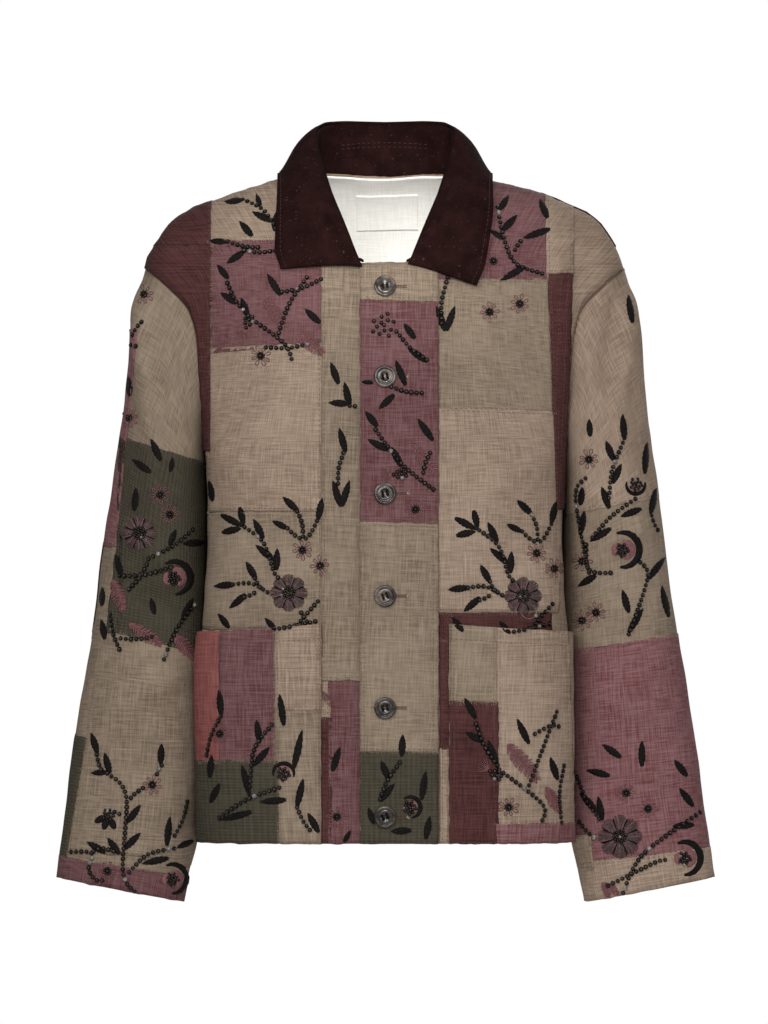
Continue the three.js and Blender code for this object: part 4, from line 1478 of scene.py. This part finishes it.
# ---- where the patches lie (x, z corners seen square on; level; raw edges) -----------
RIGHT_FRONT_PATCHES = [
    (BEIGE, [(-172, 30), (-60, 40), (-60, -61), (-172, -63)], 1, "2"),
    (MAUVE, [(-168, -62), (-60, -61), (-59, -161), (-166, -171)], 1, "2"),
    (BEIGE, [(-170, -166), (-60, -160), (-60, -322), (-172, -322)], 1, ""),
    (BEIGE_GREY, [(-176, -323), (-60, -323), (-60, -436), (-182, -436)], 1, ""),
    (MAROON, [(-262, -20), (-167, -20), (-167, -66), (-262, -66)], 2, "1"),
    (MAROON, [(-236, -66), (-167, -66), (-167, -264), (-192, -264)], 2, "1"),
    (MAROON, [(-61, -518), (-49, -518), (-51, -641), (-62, -641)], 2, "1"),
    (BEIGE_PALE, [(-183, -436), (-60, -436), (-60, -641), (-190, -641)], 1, ""),
    (BEIGE, [(-62, -503), (-52, -503), (-52, -519), (-62, -519)], 3, "0123"),
]
LAP_PATCHES = [
    (BEIGE_GREY, [(-61, -84), (0, -84), (0, -468), (-61, -468)], 1, ""),
    (MAUVE, [(-54, -481), (0, -481), (0, -641), (-54, -641)], 1, "3"),
    (BEIGE_GREY, [(-61, -462), (0, -462), (0, -484), (-61, -484)], 2, "2"),
]
LEFT_FRONT_PATCHES = [
    (MAUVE, [(45, 20), (154, 30), (155, -100), (45, -100)], 1, "2"),
    (BEIGE, [(154, 20), (183, 10), (181, -93), (155, -94)], 1, ""),
    (BEIGE_GREY, [(45, -100), (172, -98), (166, -228), (45, -226)], 1, "2"),
    (BEIGE, [(45, -222), (170, -226), (166, -419), (45, -419)], 2, "2"),
    (MAROON, [(156, -94), (179, -94), (170, -320), (163, -320)], 3, "3"),
    (MAROON, [(45, -419), (160, -419), (160, -446), (45, -446)], 1, "2"),
    (MAROON, [(52, -422), (63, -422), (63, -551), (52, -551)], 2, "1"),
    (BEIGE, [(52, -549), (63, -549), (63, -641), (52, -641)], 2, "0"),
    (BEIGE, [(63, -446), (176, -440), (182, -641), (63, -641)], 1, ""),
]
BAND_PATCHES = [
    (BEIGE_GREY, [(-26, -82), (54, -82), (54, -121), (-26, -119)], 1, "2"),
    (MAUVE, [(-26, -119), (54, -121), (54, -334), (-26, -332)], 0.5, ""),
    (BEIGE_GREY, [(-26, -332), (54, -334), (54, -553), (-26, -552)], 1, "0"),
    (OLIVE, [(-26, -552), (54, -553), (54, -642), (-26, -642)], 1.6, "0"),
]
RIGHT_POCKET_PATCHES = [
    (RED_ROSE, [(-192, -430), (-158, -430), (-158, -563), (-198, -563)], 1, "2"),
    (MAUVE, [(-158, -430), (-106, -430), (-106, -563), (-158, -563)], 1.6, "1"),
    (BEIGE, [(-106, -430), (-58, -426), (-58, -512), (-106, -512)], 1, ""),
    (OLIVE, [(-196, -561), (-102, -561), (-102, -642), (-200, -642)], 2, "01"),
    (BEIGE_GREY, [(-106, -512), (-58, -512), (-54, -642), (-102, -642)], 1, "0"),
]
LEFT_POCKET_PATCHES = [
    (BEIGE_GREY, [(60, -424), (107, -426), (107, -506), (60, -506)], 1, "2"),
    (MAROON, [(60, -504), (108, -504), (108, -642), (60, -642)], 1.6, "0"),
    (BEIGE, [(107, -424), (176, -436), (182, -624), (107, -623)], 1.2, ""),
    (ROSE, [(106, -621), (182, -621), (184, -642), (106, -642)], 1.8, "0"),
]
RIGHT_SLEEVE_PATCHES = [
    (ROSE, [(-238, -147), (-258, -356), (-300, -356), (-280, -147)], 1, ""),
    (OLIVE, [(-257, -249), (-160, -279), (-160, -464), (-257, -439)], 1, "0"),
    (OLIVE, [(-257, -340), (-250, -340), (-250, -440), (-268, -438)], 1, ""),
    (BEIGE_GREY, [(-330, -420), (-160, -462), (-150, -660), (-330, -648)], 0.6, "0"),
    (OLIVE, [(-330, -530), (-287, -540), (-307, -658), (-340, -658)], 1.4, "1"),
    (MAUVE, [(-330, -652), (-170, -677), (-170, -725), (-340, -725)], 1.6, "0"),
]
LEFT_SLEEVE_PATCHES = [
    (BEIGE, [(150, -60), (300, -60), (300, -302), (150, -330)], 0.4, ""),
    (ROSE, [(160, -459), (216, -450), (330, -434), (330, -646), (160, -668)], 1, "01"),
    (BEIGE, [(160, -634), (199, -634), (202, -668), (160, -668)], 2, "1"),
    (BEIGE_PALE, [(150, -664), (330, -644), (330, -720), (150, -720)], 1.8, "0"),
]
BACK_PATCHES = [
    (BEIGE_PALE, [(-172, 40), (0, 40), (0, -92), (-172, -92)], 1, "2"),
    (MAUVE, [(0, 40), (150, 40), (150, -92), (0, -92)], 1, "2"),
    (MAROON, [(150, 30), (236, 20), (190, -264), (150, -180)], 1.6, "3"),
    (BEIGE, [(-178, -92), (-52, -92), (-52, -330), (-186, -330)], 1, ""),
    (BEIGE_GREY, [(-52, -92), (146, -92), (150, -280), (-52, -280)], 1, "2"),
    (ROSE, [(-52, -280), (70, -280), (70, -430), (-52, -430)], 1.6, "2"),
    (BEIGE_PALE, [(70, -280), (190, -280), (190, -470), (70, -470)], 1, "3"),
    (OLIVE, [(-190, -330), (-52, -330), (-52, -470), (-190, -470)], 1.4, "0"),
    (BEIGE, [(-190, -470), (-20, -470), (-20, -642), (-190, -642)], 1, ""),
    (MAROON, [(-20, -430), (70, -430), (70, -642), (-20, -642)], 1.4, "0"),
    (MAUVE, [(70, -470), (190, -470), (190, -642), (70, -642)], 1, "0"),
]
LEFT_SLEEVE_BACK_PATCHES = [
    (OLIVE, [(150, -250), (212, -240), (214, -428), (150, -436)], 1, "1"),
    (ROSE, [(150, -459), (340, -432), (340, -646), (150, -668)], 1, "01"),
    (BEIGE_PALE, [(150, -664), (340, -644), (340, -720), (150, -720)], 1.8, "0"),
]
RIGHT_SLEEVE_BACK_PATCHES = [
    (ROSE, [(-230, -140), (-330, -140), (-330, -356), (-222, -356)], 1, "3"),
    (OLIVE, [(-150, -352), (-330, -352), (-330, -440), (-150, -462)], 1.4, "0"),
    (BEIGE_PALE, [(-330, -420), (-150, -462), (-150, -660), (-330, -648)], 0.6, "0"),
    (MAROON, [(-330, -530), (-262, -536), (-270, -656), (-340, -656)], 1.2, "1"),
    (MAUVE, [(-330, -650), (-150, -660), (-150, -720), (-330, -720)], 1.6, "0"),
]


# ---- making the jacket ---------------------------------------------------------------
def place_light(lamp, place, target):
    """Puts a light in the scene, aimed at a point."""
    at = bpy.data.objects.new(lamp.name, lamp)
    at.location = place
    aim = Vector(target) - Vector(place)
    at.rotation_euler = aim.to_track_quat("-Z", "Y").to_euler()
    bpy.context.scene.collection.objects.link(at)


def camera_and_light():
    view = bpy.data.cameras.new("view")
    view.lens = 440
    view.sensor_width = 36
    view.clip_end = 60
    holder = bpy.data.objects.new("view", view)
    holder.location = (-0.001, -12.1, -0.3226)
    holder.rotation_euler = (math.pi / 2, 0, 0)
    bpy.context.scene.collection.objects.link(holder)
    bpy.context.scene.camera = holder
    for name, place, size, power in (
            ("key", (-1.1, -2.5, 1.0), 1.2, 42), ("fill", (1.8, -2.1, 0.2), 1.6, 17),
            ("front", (0.1, -2.9, 0.55), 0.7, 30), ("behind", (0.6, 2.6, 0.9), 2.0, 44)):
        lamp = bpy.data.lights.new(name, "AREA")
        lamp.energy = power
        lamp.size = size
        place_light(lamp, place, (0, 0, -0.3))
    spot = bpy.data.lights.new("collar_spot", "SPOT")
    spot.energy = 500
    spot.spot_size = math.radians(4.2)
    spot.spot_blend = 0.8
    spot.shadow_soft_size = 0.12
    place_light(spot, (0, -2.6, 0.22), (0, 0.09, -0.035))
    world = bpy.data.worlds.new("studio")
    world.use_nodes = True
    tree = world.node_tree
    back = tree.nodes["Background"]
    back.inputs["Color"].default_value = (0.95, 0.95, 0.95, 1)
    back.inputs["Strength"].default_value = 0.42
    seen = add(tree, "ShaderNodeBackground", inputs={"Color": (1, 1, 1, 1),
                                                     "Strength": 1.0})
    choose = add(tree, "ShaderNodeMixShader")
    link(tree, add(tree, "ShaderNodeLightPath").outputs["Is Camera Ray"], choose.inputs[0])
    link(tree, back.outputs[0], choose.inputs[1])
    link(tree, seen.outputs[0], choose.inputs[2])
    link(tree, choose.outputs[0], tree.nodes["World Output"].inputs[0])
    bpy.context.scene.world = world
    bpy.context.scene.view_settings.view_transform = "Standard"


def studio_floor():
    made, tree, shader = material("pale_floor", 0.9)
    at = add(tree, "ShaderNodeTexCoord").outputs["Object"]
    reach = add(tree, "ShaderNodeVectorMath", operation="LENGTH")
    link(tree, at, reach.inputs[0])
    mottle = noise_at(tree, at, (3, 3, 3), 2)
    link(tree, blend_colour(tree, mottle, srgb(236, 236, 237), srgb(242, 242, 243)),
         shader.inputs["Base Color"])
    fade = math_node(tree, "SUBTRACT", 1.0, above(tree, reach.outputs["Value"], 0.9, 1.7))
    link(tree, fade, shader.inputs["Alpha"])
    bm = bmesh.new()
    bmesh.ops.create_circle(bm, cap_ends=True, segments=96, radius=FLOOR_RADIUS,
                            matrix=Matrix.Translation((0, 0, FLOOR_LEVEL)))
    mesh = bpy.data.meshes.new("studio_floor")
    bm.to_mesh(mesh)
    bm.free()
    mesh.materials.append(made)
    floor = bpy.data.objects.new("studio_floor", mesh)
    bpy.context.scene.collection.objects.link(floor)


def dress_panel(name, node, base, patches, fabric, thickness, flat, seed,
                front=True, extra=()):
    """One cloth panel with its patches, stitch rows and let-go threads."""
    base_piece = finish_piece(name, base, [fabric], thickness)
    if node:
        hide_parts(node)
    declare_cloth(base, flat)
    joined, fabrics = patch_set(base, patches, seed, True if extra else None)
    for more, more_seed, side in extra:
        other, other_fabrics = patch_set(base, more, more_seed, side)
        for f in other.faces:
            kind = other_fabrics[f.material_index]
            if kind not in fabrics:
                fabrics.append(kind)
            f.material_index = fabrics.index(kind)
        join_into(joined, other)
    patch_piece = finish_piece(name + "_patches", joined, fabrics, PATCH_CLOTH)
    area = cloth_area(joined)
    declare_cloth(joined, (area / flat[1], flat[1]))
    chance = random.Random(seed)
    seams = Threads()
    frays = Threads()
    ground = Ground([base, joined], front)
    outline_work(ground, patches, seams, frays, chance)
    for more, _, side in extra:
        outline_work(Ground([base, joined], side), more, seams, frays, chance)
    seams.make(name + "_stitches", DARK_SEAM)
    frays.make(name + "_frayed_threads", PALE_THREAD)
    return joined


def sew_line(threads, ground, points, step=4.6, lift=0.05, radius=0.22):
    for a, b in zip(points, points[1:]):
        running_stitch(threads, ground, a, b, STITCH, step - STITCH, lift, radius)


def button_mesh():
    r, h = BUTTON_RADIUS, BUTTON_HEIGHT
    outline = [(0, 0), (0.8 * r, 0), (r, 0.4 * h), (0.97 * r, 0.8 * h), (0.88 * r, h),
               (0.78 * r, 0.95 * h), (0.70 * r, 0.60 * h), (0.62 * r, 0.52 * h),
               (0.55 * r, 0.68 * h), (0.46 * r, 0.66 * h), (0.38 * r, 0.50 * h), (0, 0.48 * h)]
    bm = bmesh.new()
    verts = [bm.verts.new((x * MM, 0, z * MM)) for x, z in outline]
    edges = [bm.edges.new(pair) for pair in zip(verts, verts[1:])]
    bmesh.ops.spin(bm, geom=verts + edges, cent=(0, 0, 0), axis=(0, 0, 1), angle=math.tau,
                   steps=36, use_merge=True, use_duplicate=False)
    bmesh.ops.remove_doubles(bm, verts=bm.verts, dist=SAME_PLACE)
    bmesh.ops.recalc_face_normals(bm, faces=bm.faces)
    return bm


def hole_cutters():
    bm = bmesh.new()
    for x in (-THREAD_HOLE_OUT, THREAD_HOLE_OUT):
        for y in (-THREAD_HOLE_OUT, THREAD_HOLE_OUT):
            bmesh.ops.create_cone(bm, cap_ends=True, segments=14,
                                  radius1=THREAD_HOLE_RADIUS * MM,
                                  radius2=THREAD_HOLE_RADIUS * MM, depth=12 * MM,
                                  matrix=Matrix.Translation((x * MM, y * MM, 0)))
    return bm


def drilled_button():
    """The turned button with its four thread holes, as a plain mesh."""
    held = []
    for name, bm in (("button_body", button_mesh()), ("button_holes", hole_cutters())):
        mesh = bpy.data.meshes.new(name)
        bm.to_mesh(mesh)
        thing = bpy.data.objects.new(name, mesh)
        bpy.context.scene.collection.objects.link(thing)
        held.append(thing)
    body, holes = held
    drill = body.modifiers.new("drill", "BOOLEAN")
    drill.object = holes
    drill.operation = "DIFFERENCE"
    bpy.context.view_layer.update()
    ready = body.evaluated_get(bpy.context.evaluated_depsgraph_get())
    mesh = bpy.data.meshes.new_from_object(ready)
    for thing in held:
        bpy.data.objects.remove(thing)
    return mesh


def button_pose(place, normal, spin):
    level = normal.copy()
    level.x *= 0.3
    up = Matrix.Translation(place) @ level.to_track_quat("Z", "Y").to_matrix().to_4x4()
    return up @ Matrix.Rotation(spin, 4, "Z")


def make_buttons(ground):
    """Six turned horn buttons, each sewn on through its holes."""
    shape = drilled_button()
    threads = Threads()
    chance = random.Random(5)
    for i, z in enumerate(BUTTONS):
        place, normal = ground.at(0, z, 0.2)
        pose = button_pose(place, normal, chance.uniform(-0.4, 0.4))
        mesh = shape.copy()
        mesh.transform(pose)
        bm = bmesh.new()
        bm.from_mesh(mesh)
        piece = finish_piece(f"horn_button_{i + 1}", bm, [HORN], smooth=False)
        piece.data.polygons.foreach_set("use_smooth", [True] * len(piece.data.polygons))
        bm.free()
        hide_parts(f"button_{i + 1}")
        for side in (-THREAD_HOLE_OUT, THREAD_HOLE_OUT):
            for off in (-0.5, 0.5):
                ends = [pose @ (Vector((side + off, y, high)) * MM)
                        for y, high in ((-2.3, 1.2), (-1.5, 2.6), (1.5, 2.6), (2.3, 1.2))]
                threads.free(ends, 0.42)
    threads.make("button_threads", BLACK_THREAD)


def make_buttonholes(ground, seams, frays):
    """Worked holes that end beside each button, with a few long ends."""
    chance = random.Random(11)
    for z in BUTTONS:
        for i in range(17):
            x = mix(10, 21, i / 16)
            for side in (-1, 1):
                seams.lay(ground, [(x, z + 0.25 * side), (x, z + 1.5 * side)], 0.24, 0.2)
        for i in range(7):
            spread = chance.uniform(-0.9, 0.9)
            reach = chance.uniform(2, 4.5)
            frays.lay(ground, [(20.5, z), (20.5 + reach * math.cos(spread),
                                           z + reach * math.sin(spread))], 0.25, 0.4, 0.5)


def loose_ends(threads, ground, places, chance):
    """Single threads left long, lying where they fell."""
    for x, z in places:
        points = [(x, z)]
        angle = chance.uniform(-2.4, -0.6)
        for _ in range(7):
            angle += chance.uniform(-0.6, 0.6)
            x += 3.4 * math.cos(angle)
            z += 3.4 * math.sin(angle)
            points.append((x, z))
        threads.lay(ground, points, 0.26, 0.5, 0.6)


def make_collar():
    fall = collar_fall()
    stand = collar_stand()
    fall_piece = finish_piece("collar_fall_cloth", fall, [MOLESKIN], COLLAR_CLOTH)
    stand_piece = finish_piece("collar_stand_cloth", stand, [MOLESKIN], COLLAR_CLOTH)
    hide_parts("collar_fall")
    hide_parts("collar_stand")
    declare_cloth(fall, (0.52, 0.10))
    declare_cloth(stand, (0.46, 0.08))
    threads = Threads()
    edge_stitches(threads, 0.93)
    inside = Ground([stand])
    for level in (36, 32):
        for x in range(-42, 42, 5):
            z = level - x * x / 700
            threads.lay(inside, [(x, z), (x + 2.8, z)], 0.22, 0.2)
    threads.make("collar_stitches", COLLAR_THREAD)


def edge_stitches(threads, level):
    """A stitch row that follows the collar's outer edge."""
    for i in range(COLLAR_STITCHES):
        places = []
        for u in ((i + 0.15) / COLLAR_STITCHES, (i + 0.75) / COLLAR_STITCHES):
            p = mirrored(u, lambda s, side: fall_half(s, level, side))
            q = mirrored(min(u + 0.004, 1), lambda s, side: fall_half(s, level, side))
            r = mirrored(u, lambda s, side: fall_half(s, level - 0.05, side))
            up = (q - p).cross(r - p).normalized()
            if up.z < 0:
                up.negate()
            places.append((p + up * 0.3) * MM)
        threads.free(places, 0.22)


def seam_ridges():
    """Felled seams at the armholes, where sleeve and body meet."""
    threads = Threads()
    for side in (-1, 1):
        places = []
        for i in range(81):
            p = armhole_loop(i / 80)
            p = Vector((side * p.x, p.y, p.z))
            out = Vector((p.x - side * 120, p.y * 1.4, p.z + 190)).normalized()
            places.append((p + out * (rumple(p) - 0.6)) * MM)
        threads.free(places, 1.5)
    threads.make("armhole_seams", DARK_SEAM)


def make_jacket():
    chance = random.Random(3)
    right = front_panel(-1)
    left = front_panel(1)
    lap = front_strip(-61, 18, lambda x: mix(0.9, -LAP_DEPTH, ease((x + 46) / 18)), 22)
    band = front_strip(BAND_INNER, BAND_OUTER, lambda x: GAP + THIN + 0.6, 20)
    back = back_panel()
    rp, lp = pocket_panel(-1), pocket_panel(1)
    rs, ls = sleeve(-1), sleeve(1)

    right_top = dress_panel("front_right_cloth", "front_right", right, RIGHT_FRONT_PATCHES,
                            BEIGE, CLOTH, (0.26, 0.70), 10)
    left_top = dress_panel("front_left_cloth", "front_left", left, LEFT_FRONT_PATCHES,
                           BEIGE, CLOTH, (0.26, 0.70), 30)
    lap_top = dress_panel("button_facing_cloth", None, lap, LAP_PATCHES, BEIGE, THIN,
                          (0.085, 0.57), 50)
    band_top = dress_panel("button_band_cloth", "button_band", band, BAND_PATCHES, BEIGE_GREY, THIN,
                           (0.08, 0.57), 60)
    rp_top = dress_panel("pocket_right_cloth", "pocket_right", rp, RIGHT_POCKET_PATCHES, BEIGE,
                         THIN, (0.15, 0.22), 70)
    lp_top = dress_panel("pocket_left_cloth", "pocket_left", lp, LEFT_POCKET_PATCHES, BEIGE,
                         THIN, (0.15, 0.22), 80)
    back_top = dress_panel("back_cloth", "back", back, BACK_PATCHES, BEIGE, CLOTH,
                           (0.56, 0.70), 90, front=False)
    rs_top = dress_panel("sleeve_right_cloth", "sleeve_right", rs, RIGHT_SLEEVE_PATCHES,
                         BEIGE_GREY, CLOTH, (0.44, 0.62), 110,
                         extra=[(RIGHT_SLEEVE_BACK_PATCHES, 120, False)])
    ls_top = dress_panel("sleeve_left_cloth", "sleeve_left", ls, LEFT_SLEEVE_PATCHES,
                         BEIGE_GREY, CLOTH, (0.44, 0.62), 130,
                         extra=[(LEFT_SLEEVE_BACK_PATCHES, 140, False)])
    lining = neck_lining()
    lining_piece = finish_piece("neck_lining_cloth", lining, [LINING], 1.0)
    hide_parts("neck_lining")
    declare_cloth(lining, (0.36, 0.22))
    tag = label()
    tag_piece = finish_piece("blank_label", tag, [LINING], 0.5)
    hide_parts("label")
    declare_cloth(tag, (0.061, 0.035))
    make_collar()

    band_ground = Ground([band, band_top])
    seams = Threads()
    frays = Threads()
    make_buttonholes(band_ground, seams, frays)
    make_buttons(band_ground)
    for x in (46, -20):
        sew_line(seams, band_ground, [(x, BAND_ROW_TOP), (x, BAND_ROW_FOOT)])
    seams.make("buttonhole_stitches", DARK_SEAM)

    right_ground = Ground([right, right_top])
    loose_ends(frays, right_ground, [(-138, -170), (-112, -168), (-90, -163), (-76, -430)], chance)
    left_ground = Ground([left, left_top])
    loose_ends(frays, left_ground, [(80, -228), (110, -226), (130, -420), (96, -101)], chance)
    frays.make("loose_threads", PALE_THREAD)
    hems = Threads()
    for ground, x0, x1 in ((right_ground, -184, -66), (left_ground, 66, 184)):
        sew_line(hems, ground, [(x0, HEM_ROW), (x1, HEM_ROW)])
    hem_back = Ground([back, back_top], False)
    sew_line(hems, hem_back, [(-182, HEM_ROW), (182, HEM_ROW)])
    for ground, side in ((Ground([rp, rp_top]), -1), (Ground([lp, lp_top]), 1)):
        sew_line(hems, ground, [(side * 62, -444), (side * 172, -450)])
        for x in (side * 63, side * 66):
            sew_line(hems, ground, [(x, -430), (x, -630)])
    hems.make("hem_stitches", DARK_SEAM)
    seam_ridges()

    body = Ground([right, right_top, left, left_top, lap, lap_top, band, band_top,
                   rp, rp_top, lp, lp_top])
    needle = Needlework(body, 21)
    embroider_right_chest(needle)
    embroider_centre_strip(needle)
    embroider_band(needle)
    needle.make("needlework_front_right")
    needle = Needlework(body, 22)
    embroider_left_chest(needle)
    embroider_left_pocket(needle)
    embroider_right_pocket(needle)
    needle.make("needlework_front_left")
    for side, base, top, front_work in ((-1, rs, rs_top, embroider_right_sleeve),
                                        (1, ls, ls_top, embroider_left_sleeve)):
        word = "right" if side < 0 else "left"
        needle = Needlework(Ground([base, top]), 30 + side)
        front_work(needle)
        needle.make(f"needlework_sleeve_{word}")
        needle = Needlework(Ground([base, top], False), 40 + side)
        embroider_sleeve_back(needle, side)
        needle.make(f"needlework_sleeve_back_{word}")
    needle = Needlework(hem_back, 50)
    embroider_back(needle)
    needle.make("needlework_back")


camera_and_light()
studio_floor()
make_jacket()
